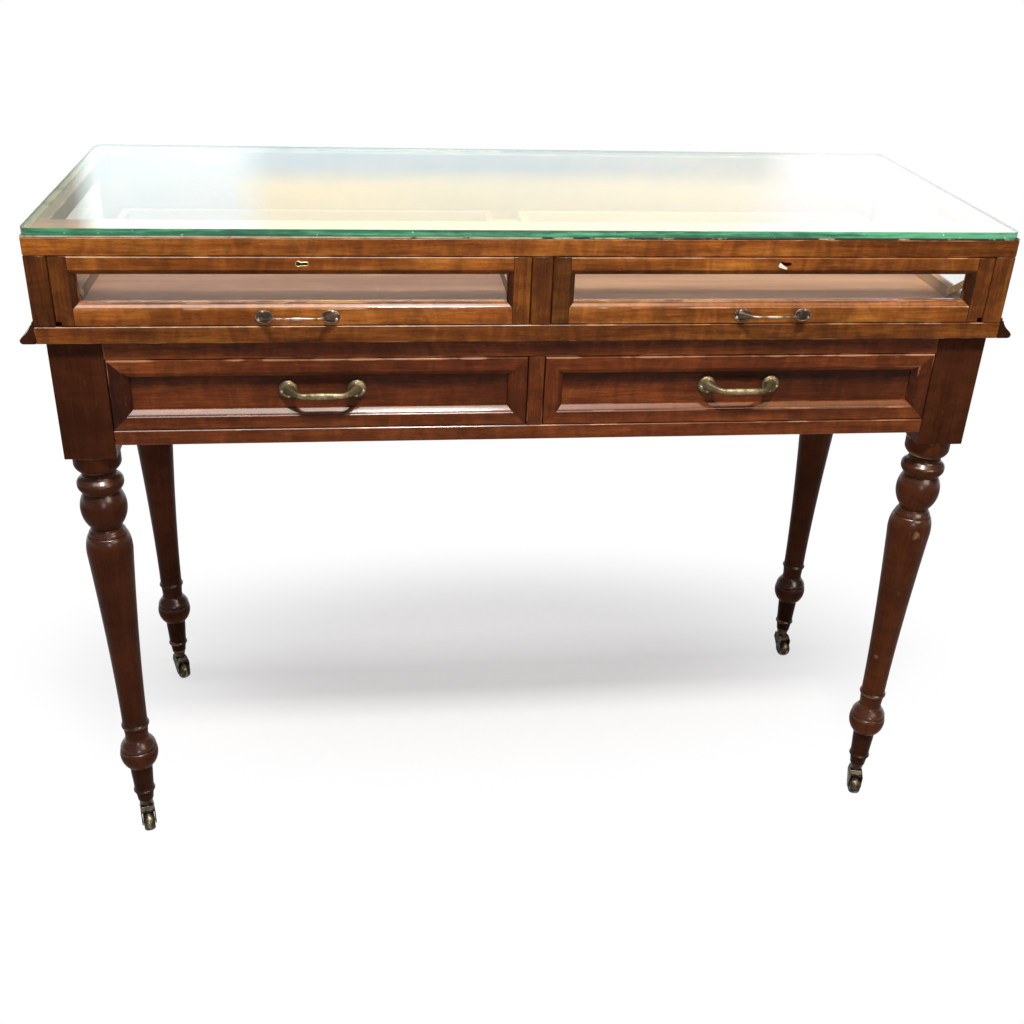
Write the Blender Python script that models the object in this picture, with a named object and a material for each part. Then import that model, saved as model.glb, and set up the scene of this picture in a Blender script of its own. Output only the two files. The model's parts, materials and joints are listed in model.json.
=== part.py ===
"""Display table: a glazed case with two display drawers, over a frieze with two drawers, on turned legs.

Units are metres and +Z is up. The front faces -Y, and the origin is on the floor under the middle of the
whole table, handles included. Heights are built up from the floor: castors, turned legs with square blocks,
frieze, case, glass top.
"""

import math

import bmesh
import bpy
from mathutils import Matrix, Vector

# Fits
FIT = 0.0003
PIN_CLEARANCE = 0.0001
DRAWER_GAP = 0.0012
DRAWER_LIFT = 0.0004
GUIDE_CLEARANCE = 0.0005

# Castors
WHEEL_RADIUS = 0.015
WHEEL_WIDTH = 0.014
TREAD_WIDTH = 0.006
WHEEL_EDGE_DROP = 0.0035
AXLE_RADIUS = 0.0024
CASTOR_TRAIL = 0.0105
CHEEK_THICKNESS = 0.0028
CHEEK_CLEARANCE = 0.0008
EYE_RADIUS = 0.0055
CROWN_CLEARANCE = 0.0022
CROWN_HEIGHT = 0.009
STEM_RADIUS = 0.0112
STEM_WAIST = 0.0086
CROWN_LIP = 0.0005
PINTLE_RADIUS = 0.004
PINTLE_LENGTH = 0.020
CASTOR_HEADINGS = {
    "front_left": math.radians(284),
    "front_right": math.radians(256),
    "back_left": math.radians(300),
    "back_right": math.radians(282),
}

# Turned legs, heights from the foot up
FOOT_HEIGHT = 0.054
FOOT_CUP_HEIGHT = 0.013
FOOT_RING_HEIGHT = 0.008
ANKLE_HEIGHT = 0.042
BULB_HEIGHT = 0.034
GROOVE_HEIGHT = 0.0016
BELL_HEIGHT = 0.020
THROAT_HEIGHT = 0.015
ASTRAGAL_HEIGHT = 0.010
TURNING_HEIGHT = 0.6335

# Turned legs, depths from the block down
CAP_DEPTH = 0.0175
OVOLO_DEPTH = 0.008
NECK_DEPTH = 0.012
COLLAR_DEPTH = 0.021
BALL_DEPTH = 0.051
BALL_NECK_DEPTH = 0.012
SHOULDER_DEPTH = 0.027

# Turned legs, radii
FOOT_RADIUS = 0.0118
FOOT_RING_RADIUS = 0.0150
ANKLE_RADIUS = 0.0142
ANKLE_TOP_RADIUS = 0.0160
BULB_RADIUS = 0.0270
GROOVE_CUT = 0.0009
BELL_RADIUS = 0.0253
THROAT_RADIUS = 0.0163
ASTRAGAL_RADIUS = 0.0194
VASE_FOOT_RADIUS = 0.0176
VASE_RADIUS = 0.0301
SHOULDER_RADIUS = 0.0252
BALL_FOOT_RADIUS = 0.0203
BALL_RADIUS = 0.0298
BALL_TOP_RADIUS = 0.0227
COLLAR_RADIUS = 0.0300
COLLAR_EDGE_RADIUS = 0.0245
NECK_RADIUS = 0.0228
OVOLO_RADIUS = 0.0258
CAP_RADIUS = 0.0300
VASE_POWER = 1.6

# Frieze
BLOCK_SIZE = 0.064
BLOCK_DROP = 0.0185
FRIEZE_BOTTOM_RAIL = 0.0195
LOWER_OPENING_HEIGHT = 0.0945
FRIEZE_TOP_RAIL = 0.0235
FRIEZE_RAIL_DEPTH = 0.022
FRIEZE_STILE_WIDTH = 0.020
APRON_THICKNESS = 0.020
APRON_SETBACK = 0.003
RUNNER_WIDTH = 0.027
RUNNER_HEIGHT = 0.0165
RUNNER_GUIDE_HEIGHT = 0.015

# Lower drawers
LOWER_FRONT_THICKNESS = 0.022
LOWER_FRAME_WIDTH = 0.017
LOWER_FILLET_DEPTH = 0.0015
LOWER_FILLET_WIDTH = 0.0010
LOWER_MOULDING_WIDTH = 0.0065
LOWER_PANEL_DEPTH = 0.010
LOWER_BOX_INSET = 0.0035
LOWER_BOX_WALL = 0.010
LOWER_BOX_BOTTOM = 0.007
LOWER_BOX_HEIGHT = 0.080
LOWER_BOX_BACK_GAP = 0.014

# Case
CASE_WIDTH = 1.200
CASE_DEPTH = 0.460
CASE_OVERHANG_FRONT = 0.010
CASE_OVERHANG_SIDE = 0.0085
BOTTOM_RAIL_HEIGHT = 0.021
DISPLAY_OPENING_HEIGHT = 0.086
TOP_RAIL_HEIGHT = 0.021
TOP_RAIL_DEPTH = 0.056
POST_WIDTH = 0.025
POST_DEPTH = 0.022
CENTRE_STILE_WIDTH = 0.025
END_RAIL_THICKNESS = 0.022
END_RAIL_HEIGHT = 0.029
END_GLASS_THICKNESS = 0.003
BACK_THICKNESS = 0.022
FLOOR_THICKNESS = 0.012
FLOOR_GUIDE_HEIGHT = 0.010
MOULDING_HEIGHT = 0.027
MOULDING_REACH = 0.018
MOULDING_FILLET = 0.0035
MOULDING_NOSE_RADIUS = 0.0040

# Glass top
BEDDING_THICKNESS = 0.0018
BEDDING_WIDTH = 0.016
GLASS_THICKNESS = 0.008
GLASS_CORNER_RADIUS = 0.012

# Display drawers
FRONT_THICKNESS = 0.020
FRONT_STILE_WIDTH = 0.0215
FRONT_TOP_RAIL_WIDTH = 0.0165
FRONT_BOTTOM_RAIL_WIDTH = 0.0205
FRONT_BEVEL_WIDTH = 0.006
FRONT_BEVEL_DEPTH = 0.0058
PANE_SEAT_DEPTH = 0.010
PANE_REBATE = 0.005
PANE_THICKNESS = 0.003
NOTCH_WIDTH = 0.006
NOTCH_HEIGHT = 0.005
TRAY_INSET = 0.009
TRAY_WALL = 0.010
TRAY_FLOOR = 0.010
TRAY_SIDE_HEIGHT = 0.0155
TRAY_BACK_GAP = 0.010
BRACE_THICKNESS = 0.0025
BRACE_WIDTH = 0.009
BRACE_RUN = 0.046
BRACE_FOOT_LIFT = 0.008
BRACE_RISE = 0.030
BRACE_TAB_WIDTH = 0.013
BRACE_TAB_HEIGHT = 0.014

# Locks
KEYHOLE_OFFSET = 0.008
KEYHOLE_LENGTH = 0.011
KEYHOLE_RADIUS = 0.0022
KEYHOLE_SLOT = 0.0026
LOCK_WIDTH = 0.044
LOCK_HEIGHT = 0.015
LOCK_DEPTH = 0.009
LOCK_DROP = 0.0005
BOLT_WIDTH = 0.018
BOLT_THICKNESS = 0.003
BOLT_HEIGHT = 0.012
BOLT_THROW = 0.007
MORTISE_CLEARANCE = 0.0012

# Bar handles: spacing of the roses, bar radii at the middle, waist and root
ROSE_RADIUS = 0.0115
ROSE_RIM = 0.0015
ROSE_DOME = 0.0040
HANDLE_CURVE = 2.7
DISPLAY_HANDLE_SPACING = 0.079
DISPLAY_HANDLE_REACH = 0.0165
DISPLAY_HANDLE_DROP = 0.001
DISPLAY_BAR_RADII = (0.0026, 0.0019, 0.0040)
LOWER_HANDLE_SPACING = 0.0855
LOWER_HANDLE_REACH = 0.0235
LOWER_HANDLE_DROP = 0.003
LOWER_HANDLE_RAISE = 0.003
LOWER_BAR_RADII = (0.0046, 0.0032, 0.0055)

# Facets of the round shapes
LEG_SIDES = 16
WHEEL_SIDES = 24
STEM_SIDES = 16
PIN_SIDES = 12
ROSE_SIDES = 16
BAR_SIDES = 8
BAR_RINGS = 20
BALL_STEPS = 6
TAPER_STEPS = 5
HOLLOW_STEPS = 3
ARC_STEPS = 6

# Places that follow from the sizes
CUT = 0.002
BLOCK_HEIGHT = BLOCK_DROP + FRIEZE_BOTTOM_RAIL + LOWER_OPENING_HEIGHT + FRIEZE_TOP_RAIL
BASE_TOP = TURNING_HEIGHT + BLOCK_HEIGHT
FRIEZE_BOTTOM = TURNING_HEIGHT + BLOCK_DROP
LOWER_OPENING_Z = FRIEZE_BOTTOM + FRIEZE_BOTTOM_RAIL
LOWER_OPENING_TOP = LOWER_OPENING_Z + LOWER_OPENING_HEIGHT
CASE_BOTTOM = BASE_TOP + FIT
DISPLAY_OPENING_Z = CASE_BOTTOM + BOTTOM_RAIL_HEIGHT
DISPLAY_OPENING_TOP = DISPLAY_OPENING_Z + DISPLAY_OPENING_HEIGHT
CASE_TOP = DISPLAY_OPENING_TOP + TOP_RAIL_HEIGHT
BEDDING_BOTTOM = CASE_TOP + FIT
GLASS_BOTTOM = BEDDING_BOTTOM + BEDDING_THICKNESS + FIT
HANDLE_STANDOFF = FIT + DISPLAY_HANDLE_REACH + DISPLAY_BAR_RADII[0]
CASE_FRONT = -(CASE_DEPTH - HANDLE_STANDOFF) / 2
CASE_BACK = CASE_FRONT + CASE_DEPTH
CASE_INNER_BACK = CASE_BACK - BACK_THICKNESS
CASE_HALF = CASE_WIDTH / 2
CASE_INNER_HALF = CASE_HALF - END_RAIL_THICKNESS
FRIEZE_FRONT = CASE_FRONT + CASE_OVERHANG_FRONT
BLOCK_OUTER = CASE_HALF - CASE_OVERHANG_SIDE
BLOCK_INNER = BLOCK_OUTER - BLOCK_SIZE
APRON_OUTER = BLOCK_OUTER - APRON_SETBACK
APRON_INNER = APRON_OUTER - APRON_THICKNESS
BACK_APRON_FRONT = CASE_BACK - APRON_SETBACK - APRON_THICKNESS
FRONT_BLOCK_BACK = FRIEZE_FRONT + BLOCK_SIZE
BACK_BLOCK_FRONT = CASE_BACK - BLOCK_SIZE
DISPLAY_OPENING_WIDTH = CASE_HALF - POST_WIDTH - CENTRE_STILE_WIDTH / 2
DISPLAY_CENTRE = CENTRE_STILE_WIDTH / 2 + DISPLAY_OPENING_WIDTH / 2
LOWER_OPENING_WIDTH = BLOCK_INNER - FRIEZE_STILE_WIDTH / 2
LOWER_CENTRE = FRIEZE_STILE_WIDTH / 2 + LOWER_OPENING_WIDTH / 2
TRAY_HALF = DISPLAY_OPENING_WIDTH / 2 - TRAY_INSET
LOWER_BOX_HALF = LOWER_OPENING_WIDTH / 2 - LOWER_BOX_INSET
BOLT_PLANE = FRONT_THICKNESS + FIT + LOCK_DEPTH / 2
SIDES = {"left": -1, "right": 1}


def clear_scene():
    """Remove every object that the file holds."""
    for old in list(bpy.data.objects):
        bpy.data.objects.remove(old, do_unlink=True)


def finish(name, colour, roughness, metallic=0.0, alpha=1.0):
    """Make one Principled material."""
    material = bpy.data.materials.new(name)
    material.use_nodes = True
    shader = material.node_tree.nodes["Principled BSDF"]
    shader.inputs["Base Color"].default_value = (*colour, 1.0)
    shader.inputs["Roughness"].default_value = roughness
    shader.inputs["Metallic"].default_value = metallic
    shader.inputs["Alpha"].default_value = alpha
    return material


def pivot(name, location, parent=None):
    """Make an empty that carries the pieces of one moving body."""
    empty = bpy.data.objects.new(name, None)
    empty.location = location
    empty.parent = parent
    bpy.context.scene.collection.objects.link(empty)
    return empty


def place(name, mesh, material, location=(0, 0, 0), parent=None, turn=0.0):
    """Make an object of a mesh, with its own material, and place it."""
    piece = bpy.data.objects.new(name, mesh)
    piece.location = location
    piece.rotation_euler = (0, 0, turn)
    piece.parent = parent
    bpy.context.scene.collection.objects.link(piece)
    if not mesh.materials:
        mesh.materials.append(material)
    piece.material_slots[0].link = "OBJECT"
    piece.material_slots[0].material = material
    return piece


def to_mesh(shape, name, smooth=False):
    """Turn a bmesh into a mesh with its faces pointing out."""
    bmesh.ops.remove_doubles(shape, verts=shape.verts, dist=1e-7)
    bmesh.ops.recalc_face_normals(shape, faces=shape.faces)
    mesh = bpy.data.meshes.new(name)
    shape.to_mesh(mesh)
    shape.free()
    if smooth:
        mesh.shade_smooth()
        mesh.set_sharp_from_angle(angle=math.radians(35))
    return mesh


def box_mesh(name, low, high):
    """Make a box between two corners."""
    shape = bmesh.new()
    bmesh.ops.create_cube(shape, size=1.0)
    size = Vector(high) - Vector(low)
    middle = (Vector(high) + Vector(low)) / 2
    bmesh.ops.scale(shape, vec=size, verts=shape.verts)
    bmesh.ops.translate(shape, vec=middle, verts=shape.verts)
    return to_mesh(shape, name)


def block(name, low, high, material, parent=None):
    """Make a box-shaped piece whose origin is at its middle."""
    middle = (Vector(high) + Vector(low)) / 2
    mesh = box_mesh(name, Vector(low) - middle, Vector(high) - middle)
    return place(name, mesh, material, middle, parent)


def prism_mesh(name, outline, axis, low, high):
    """Extrude an outline along X, Y or Z, from low to high.

    The outline's points are the other two coordinates in X, Y, Z order.
    """
    shape = bmesh.new()
    ring = []
    for first, second in outline:
        coordinates = [first, second]
        coordinates.insert("XYZ".index(axis), low)
        ring.append(shape.verts.new(coordinates))
    face = shape.faces.new(ring)
    step = [0.0, 0.0, 0.0]
    step["XYZ".index(axis)] = high - low
    grown = bmesh.ops.extrude_face_region(shape, geom=[face])
    moved = [item for item in grown["geom"] if isinstance(item, bmesh.types.BMVert)]
    bmesh.ops.translate(shape, vec=step, verts=moved)
    return to_mesh(shape, name)


def rectangle(shape, low, high, plane, level):
    """Add the corners of a rectangle in a plane, as a loop of four vertices."""
    corners = [(low[0], low[1]), (high[0], low[1]), (high[0], high[1]), (low[0], high[1])]
    loop = []
    for corner in corners:
        coordinates = list(corner)
        coordinates.insert("XYZ".index(plane), level)
        loop.append(shape.verts.new(coordinates))
    return loop


def join_loops(shape, first, second):
    """Span two loops of equal length with faces."""
    count = len(first)
    for index in range(count):
        after = (index + 1) % count
        shape.faces.new([first[index], first[after], second[after], second[index]])


def framed_mesh(name, low, high, plane, levels, insets, through):
    """Make a rectangular frame or a board with a sunk panel.

    levels run from the front face to the back face. insets say how far the inner edge lies from the outer
    edge at each level, as widths at the low and high side of both directions. A sunk panel has one inset
    fewer, because its floor closes it before the back face.
    """
    front, back = levels[0], levels[-1]
    shape = bmesh.new()
    outer_front = rectangle(shape, low, high, plane, front)
    outer_back = rectangle(shape, low, high, plane, back)
    inner_loops = []
    inner_levels = levels if through else levels[:-1]
    for level, inset in zip(inner_levels, insets):
        inner_low = (low[0] + inset[0], low[1] + inset[2])
        inner_high = (high[0] - inset[1], high[1] - inset[3])
        inner_loops.append(rectangle(shape, inner_low, inner_high, plane, level))
    join_loops(shape, outer_front, inner_loops[0])
    for first, second in zip(inner_loops, inner_loops[1:]):
        join_loops(shape, first, second)
    if through:
        join_loops(shape, inner_loops[-1], outer_back)
    else:
        shape.faces.new(inner_loops[-1])
        shape.faces.new(outer_back)
    join_loops(shape, outer_back, outer_front)
    return to_mesh(shape, name)


def lathe_mesh(name, profile, sides, axis="Z"):
    """Turn a profile of (height, radius) points about an axis through the origin.

    A flat of the turned shape faces down when the axis lies level.
    """
    shape = bmesh.new()
    points = [shape.verts.new((radius, 0, height)) for height, radius in profile]
    for pair in zip(points, points[1:]):
        shape.edges.new(pair)
    if profile[0] == profile[-1]:
        bmesh.ops.remove_doubles(shape, verts=shape.verts, dist=1e-7)
    bmesh.ops.spin(
        shape, geom=list(shape.verts) + list(shape.edges), axis=(0, 0, 1), cent=(0, 0, 0),
        steps=sides, angle=2 * math.pi, use_merge=True,
    )
    half_step = Matrix.Rotation(math.pi / sides, 3, "Z")
    bmesh.ops.rotate(shape, verts=shape.verts, cent=(0, 0, 0), matrix=half_step)
    if axis == "X":
        lay_down = Matrix.Rotation(math.pi / 2, 3, "Y")
        bmesh.ops.rotate(shape, verts=shape.verts, cent=(0, 0, 0), matrix=lay_down)
    if axis == "Y":
        face_front = Matrix.Rotation(math.pi / 2, 3, "X")
        bmesh.ops.rotate(shape, verts=shape.verts, cent=(0, 0, 0), matrix=face_front)
    return to_mesh(shape, name, smooth=True)


def combine(mesh, tool_mesh, operation, offset=(0, 0, 0)):
    """Join a tool's mesh to a mesh, or cut it away, and return the result."""
    body = bpy.data.objects.new("body", mesh)
    tool = bpy.data.objects.new("tool", tool_mesh)
    tool.location = offset
    for item in (body, tool):
        bpy.context.scene.collection.objects.link(item)
    modifier = body.modifiers.new("combine", "BOOLEAN")
    modifier.operation = operation
    modifier.solver = "EXACT"
    modifier.object = tool
    bpy.context.view_layer.update()
    graph = bpy.context.evaluated_depsgraph_get()
    result = bpy.data.meshes.new_from_object(body.evaluated_get(graph))
    result.name = mesh.name
    for item in (body, tool):
        bpy.data.objects.remove(item, do_unlink=True)
    return result


def flats(radius, sides):
    """Radius of a faceted circle whose flats lie at a radius."""
    return radius / math.cos(math.pi / sides)


def arc(centre, radius, start, stop, steps=ARC_STEPS):
    """List points of a circle's arc, from one angle to another in degrees."""
    points = []
    for index in range(steps + 1):
        angle = math.radians(start + (stop - start) * index / steps)
        points.append((centre[0] + radius * math.cos(angle), centre[1] + radius * math.sin(angle)))
    return points


def swelled(start, stop, rise, steps):
    """List profile points between two (height, radius) points, with a swell or a hollow between them."""
    points = []
    for index in range(steps + 1):
        share = index / steps
        height = start[0] + (stop[0] - start[0]) * share
        radius = start[1] + (stop[1] - start[1]) * share + rise * math.sin(math.pi * share)
        points.append((height, radius))
    return points


def eased(start, stop, steps):
    """List profile points on a reversed curve between two (height, radius) points."""
    points = []
    for index in range(steps + 1):
        share = index / steps
        ease = (1 - math.cos(math.pi * share)) / 2
        points.append((start[0] + (stop[0] - start[0]) * share, start[1] + (stop[1] - start[1]) * ease))
    return points


def bulging(start, stop, widest, steps):
    """List profile points of a ball: an ellipse through two (height, radius) points, with a widest radius."""
    start_angle = -math.acos(start[1] / widest)
    stop_angle = math.acos(stop[1] / widest)
    sweep = math.sin(stop_angle) - math.sin(start_angle)
    points = []
    for index in range(steps + 1):
        angle = start_angle + (stop_angle - start_angle) * index / steps
        share = (math.sin(angle) - math.sin(start_angle)) / sweep
        points.append((start[0] + (stop[0] - start[0]) * share, widest * math.cos(angle)))
    return points


def leg_profile():
    """Turned profile of a leg, from inside the block down to the foot."""
    cap = TURNING_HEIGHT
    ovolo = cap - CAP_DEPTH
    neck = ovolo - OVOLO_DEPTH
    collar = neck - NECK_DEPTH
    ball = collar - COLLAR_DEPTH
    ball_neck = ball - BALL_DEPTH
    shoulder = ball_neck - BALL_NECK_DEPTH
    vase = shoulder - SHOULDER_DEPTH
    foot_ring = FOOT_HEIGHT + FOOT_CUP_HEIGHT
    ankle = foot_ring + FOOT_RING_HEIGHT
    bulb = ankle + ANKLE_HEIGHT
    groove = bulb + BULB_HEIGHT
    bell = groove + GROOVE_HEIGHT
    throat = bell + BELL_HEIGHT
    astragal = throat + THROAT_HEIGHT
    vase_foot = astragal + ASTRAGAL_HEIGHT
    quirk = GROOVE_CUT
    points = [(cap + CUT, 0), (cap + CUT, CAP_RADIUS), (ovolo, CAP_RADIUS)]
    points += swelled((ovolo, CAP_RADIUS), (neck, OVOLO_RADIUS), quirk, HOLLOW_STEPS)[1:]
    points += swelled((neck, NECK_RADIUS + quirk), (collar, NECK_RADIUS + quirk), -quirk, HOLLOW_STEPS)
    collar_rise = COLLAR_RADIUS - COLLAR_EDGE_RADIUS
    collar_foot = (ball, COLLAR_EDGE_RADIUS - quirk)
    points += swelled((collar, COLLAR_EDGE_RADIUS), collar_foot, collar_rise, BALL_STEPS)
    points += bulging((ball, BALL_TOP_RADIUS), (ball_neck, BALL_FOOT_RADIUS), BALL_RADIUS, BALL_STEPS)
    shoulder_edge = (shoulder, SHOULDER_RADIUS - quirk)
    points += swelled((ball_neck, BALL_FOOT_RADIUS), shoulder_edge, -quirk, HOLLOW_STEPS)[1:]
    for index in range(HOLLOW_STEPS + 1):
        share = index / HOLLOW_STEPS
        radius = SHOULDER_RADIUS + (VASE_RADIUS - SHOULDER_RADIUS) * math.sin(share * math.pi / 2)
        points.append((shoulder - SHOULDER_DEPTH * share, radius))
    for index in range(1, TAPER_STEPS + 1):
        share = 1 - index / TAPER_STEPS
        radius = VASE_FOOT_RADIUS + (VASE_RADIUS - VASE_FOOT_RADIUS) * share ** VASE_POWER
        points.append((vase_foot + (vase - vase_foot) * share, radius))
    ring_rise = ASTRAGAL_RADIUS - VASE_FOOT_RADIUS
    ring_foot = (astragal, VASE_FOOT_RADIUS)
    points += swelled((vase_foot, VASE_FOOT_RADIUS), ring_foot, ring_rise, HOLLOW_STEPS)[1:]
    points += eased(ring_foot, (throat, THROAT_RADIUS), HOLLOW_STEPS)[1:]
    points += eased((throat, THROAT_RADIUS), (bell, BELL_RADIUS), TAPER_STEPS)[1:]
    points += [((bell + groove) / 2, BELL_RADIUS - GROOVE_CUT)]
    points += bulging((groove, BELL_RADIUS), (bulb, ANKLE_TOP_RADIUS), BULB_RADIUS, BALL_STEPS)
    points += eased((bulb, ANKLE_TOP_RADIUS), (ankle, ANKLE_RADIUS), HOLLOW_STEPS)[1:]
    foot_rise = FOOT_RING_RADIUS - ANKLE_RADIUS
    points += swelled((ankle, ANKLE_RADIUS), (foot_ring, ANKLE_RADIUS), foot_rise, HOLLOW_STEPS)[1:]
    points += eased((foot_ring, ANKLE_RADIUS), (FOOT_HEIGHT, FOOT_RADIUS), HOLLOW_STEPS)[1:]
    points += [(FOOT_HEIGHT, 0)]
    return points


def leg_mesh():
    """One leg about its own axis: square block, turning and the bore for the castor's pintle."""
    half = BLOCK_SIZE / 2
    square = box_mesh("leg", (-half, -half, TURNING_HEIGHT), (half, half, BASE_TOP))
    turned = lathe_mesh("turning", leg_profile(), LEG_SIDES)
    whole = combine(square, turned, "UNION")
    radius = flats(PINTLE_RADIUS + PIN_CLEARANCE, PIN_SIDES)
    top = FOOT_HEIGHT + PINTLE_LENGTH + FIT
    mouth = FOOT_HEIGHT - CUT
    bore = lathe_mesh("bore", [(top, 0), (top, radius), (mouth, radius), (mouth, 0)], PIN_SIDES)
    return combine(whole, bore, "DIFFERENCE")


def horn_mesh():
    """One castor horn about its swivel axis, with its pintle, neck, fork and axle. The wheel trails along +X."""
    seat = FOOT_HEIGHT - FIT
    crown_low = 2 * WHEEL_RADIUS + CROWN_CLEARANCE
    crown_high = crown_low + CROWN_HEIGHT
    crown_top = STEM_WAIST + CROWN_LIP
    half_gap = WHEEL_WIDTH / 2 + CHEEK_CLEARANCE
    half = half_gap + CHEEK_THICKNESS
    stem = lathe_mesh("stem", [
        (FOOT_HEIGHT + PINTLE_LENGTH, 0),
        (FOOT_HEIGHT + PINTLE_LENGTH, PINTLE_RADIUS),
        (seat, PINTLE_RADIUS),
        (seat, STEM_RADIUS),
        (crown_high, STEM_WAIST),
        (crown_low + CROWN_HEIGHT / 2, STEM_WAIST),
        (crown_low + CROWN_HEIGHT / 2, 0),
    ], STEM_SIDES)
    eye = arc((CASTOR_TRAIL, WHEEL_RADIUS), EYE_RADIUS, -140, 30)
    shoulder = CASTOR_TRAIL + EYE_RADIUS
    outline = [(-crown_top, crown_high), (-crown_top, crown_low)] + eye
    outline += [(shoulder, crown_low), (crown_top, crown_high)]
    fork = prism_mesh("horn", outline, "Y", -half, half)
    lean = (half - crown_top) / CROWN_HEIGHT
    foot_half = crown_top + (crown_high + CUT) * lean
    top_half = crown_top - CUT * lean
    roof = [(-foot_half, -CUT), (foot_half, -CUT), (top_half, crown_high + CUT), (-top_half, crown_high + CUT)]
    fork = combine(fork, prism_mesh("roof", roof, "X", -crown_top - CUT, shoulder + CUT), "INTERSECT")
    slot_low = (-crown_top - CUT, -half_gap, -CUT)
    slot_high = (shoulder + EYE_RADIUS + CUT, half_gap, crown_low)
    fork = combine(fork, box_mesh("slot", slot_low, slot_high), "DIFFERENCE")
    end = half_gap + CHEEK_THICKNESS / 2
    axle = lathe_mesh("axle", [(end, 0), (end, AXLE_RADIUS), (-end, AXLE_RADIUS), (-end, 0)], PIN_SIDES, "Y")
    fork = combine(fork, axle, "UNION", (CASTOR_TRAIL, 0, WHEEL_RADIUS))
    return combine(fork, stem, "UNION")


def wheel_mesh():
    """One castor wheel about its axle, which lies along Y. A flat of its tread faces down."""
    reach = flats(WHEEL_RADIUS, WHEEL_SIDES)
    edge = reach - WHEEL_EDGE_DROP
    bore = flats(AXLE_RADIUS + PIN_CLEARANCE, WHEEL_SIDES)
    half = WHEEL_WIDTH / 2
    tread = TREAD_WIDTH / 2
    profile = [(half, bore), (half, edge), (tread, reach), (-tread, reach), (-half, edge), (-half, bore)]
    return lathe_mesh("wheel", profile + profile[:1], WHEEL_SIDES, "Y")


def rose_mesh():
    """One domed round plate of a handle, standing out along -Y from its base."""
    profile = [(FIT + ROSE_RIM + ROSE_DOME, 0)]
    for index in range(1, HOLLOW_STEPS + 1):
        angle = math.pi / 2 * index / (HOLLOW_STEPS + 1)
        height = FIT + ROSE_RIM + ROSE_DOME * math.cos(angle)
        profile.append((height, ROSE_RADIUS * math.sin(angle)))
    profile += [(FIT + ROSE_RIM, ROSE_RADIUS), (FIT, ROSE_RADIUS), (FIT, 0)]
    return lathe_mesh("rose", profile, ROSE_SIDES, "Y")


def handle_mesh(name, spacing, reach, drop, radii):
    """A bar handle: two roses and a bar that springs out of them, about the middle of its fixing face."""
    middle_radius, waist_radius, root_radius = radii
    shape = bmesh.new()
    rings = []
    for index in range(BAR_RINGS + 1):
        angle = math.pi * index / BAR_RINGS
        out = max(math.sin(angle), 0.0)
        across = math.cos(angle)
        power = 2 / HANDLE_CURVE
        x = -spacing / 2 * math.copysign(abs(across) ** power, across)
        y = -FIT - ROSE_RIM / 2 - (reach - ROSE_RIM / 2) * out ** power
        z = -drop * out ** power
        slope_x = math.sin(angle)
        slope_y = -math.cos(angle) * reach / (spacing / 2)
        along = Vector((slope_x, slope_y, 0)).normalized()
        outward = Vector((along.y, -along.x, 0))
        root = (1 - out) ** 2
        thick = waist_radius + (middle_radius - waist_radius) * out ** 3 + (root_radius - waist_radius) * root
        ring = []
        for side in range(BAR_SIDES):
            turn = 2 * math.pi * side / BAR_SIDES
            offset = outward * math.cos(turn) + Vector((0, 0, 1)) * math.sin(turn)
            ring.append(shape.verts.new(Vector((x, y, z)) + offset * thick))
        rings.append(ring)
    for first, second in zip(rings, rings[1:]):
        join_loops(shape, first, second)
    shape.faces.new(rings[0])
    shape.faces.new(rings[-1])
    bar = to_mesh(shape, name, smooth=True)
    cut_low = (-spacing, -FIT, -reach)
    wall = box_mesh("wall", cut_low, (spacing, reach, reach))
    bar = combine(bar, wall, "DIFFERENCE")
    for side in SIDES.values():
        bar = combine(bar, rose_mesh(), "UNION", (side * spacing / 2, 0, 0))
    return bar


def keyhole_outline(x, z):
    """Outline of a keyhole lying on its side, its round end to the left."""
    slot_half = KEYHOLE_SLOT / 2
    angle = math.degrees(math.asin(slot_half / KEYHOLE_RADIUS))
    left = x - KEYHOLE_LENGTH / 2 + KEYHOLE_RADIUS
    right = x + KEYHOLE_LENGTH / 2 - slot_half
    round_end = arc((left, z), KEYHOLE_RADIUS, angle, 360 - angle)
    slot_end = arc((right, z), slot_half, -90, 90, HOLLOW_STEPS)
    return round_end + slot_end


def moulding_outline(side):
    """Ogee profile of the end mouldings, as (x, z) points on one side of the case."""
    start = CASE_HALF + FIT
    low = CASE_BOTTOM
    top = low + MOULDING_HEIGHT
    nose = MOULDING_NOSE_RADIUS
    reach = start + MOULDING_REACH
    hollow_top = (top - MOULDING_FILLET, start + MOULDING_FILLET)
    hollow_foot = (low + 2 * nose, reach - nose / 2)
    outline = [(start, low), (start, top), (start + MOULDING_FILLET / 2, top)]
    outline += [(start + MOULDING_FILLET / 2, hollow_top[0])]
    outline += [(x, z) for z, x in swelled(hollow_top, hollow_foot, -nose / 2, TAPER_STEPS)]
    outline += arc((reach - nose, low + nose), nose, 60, -90)
    return [(side * x, z) for x, z in outline]


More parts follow.
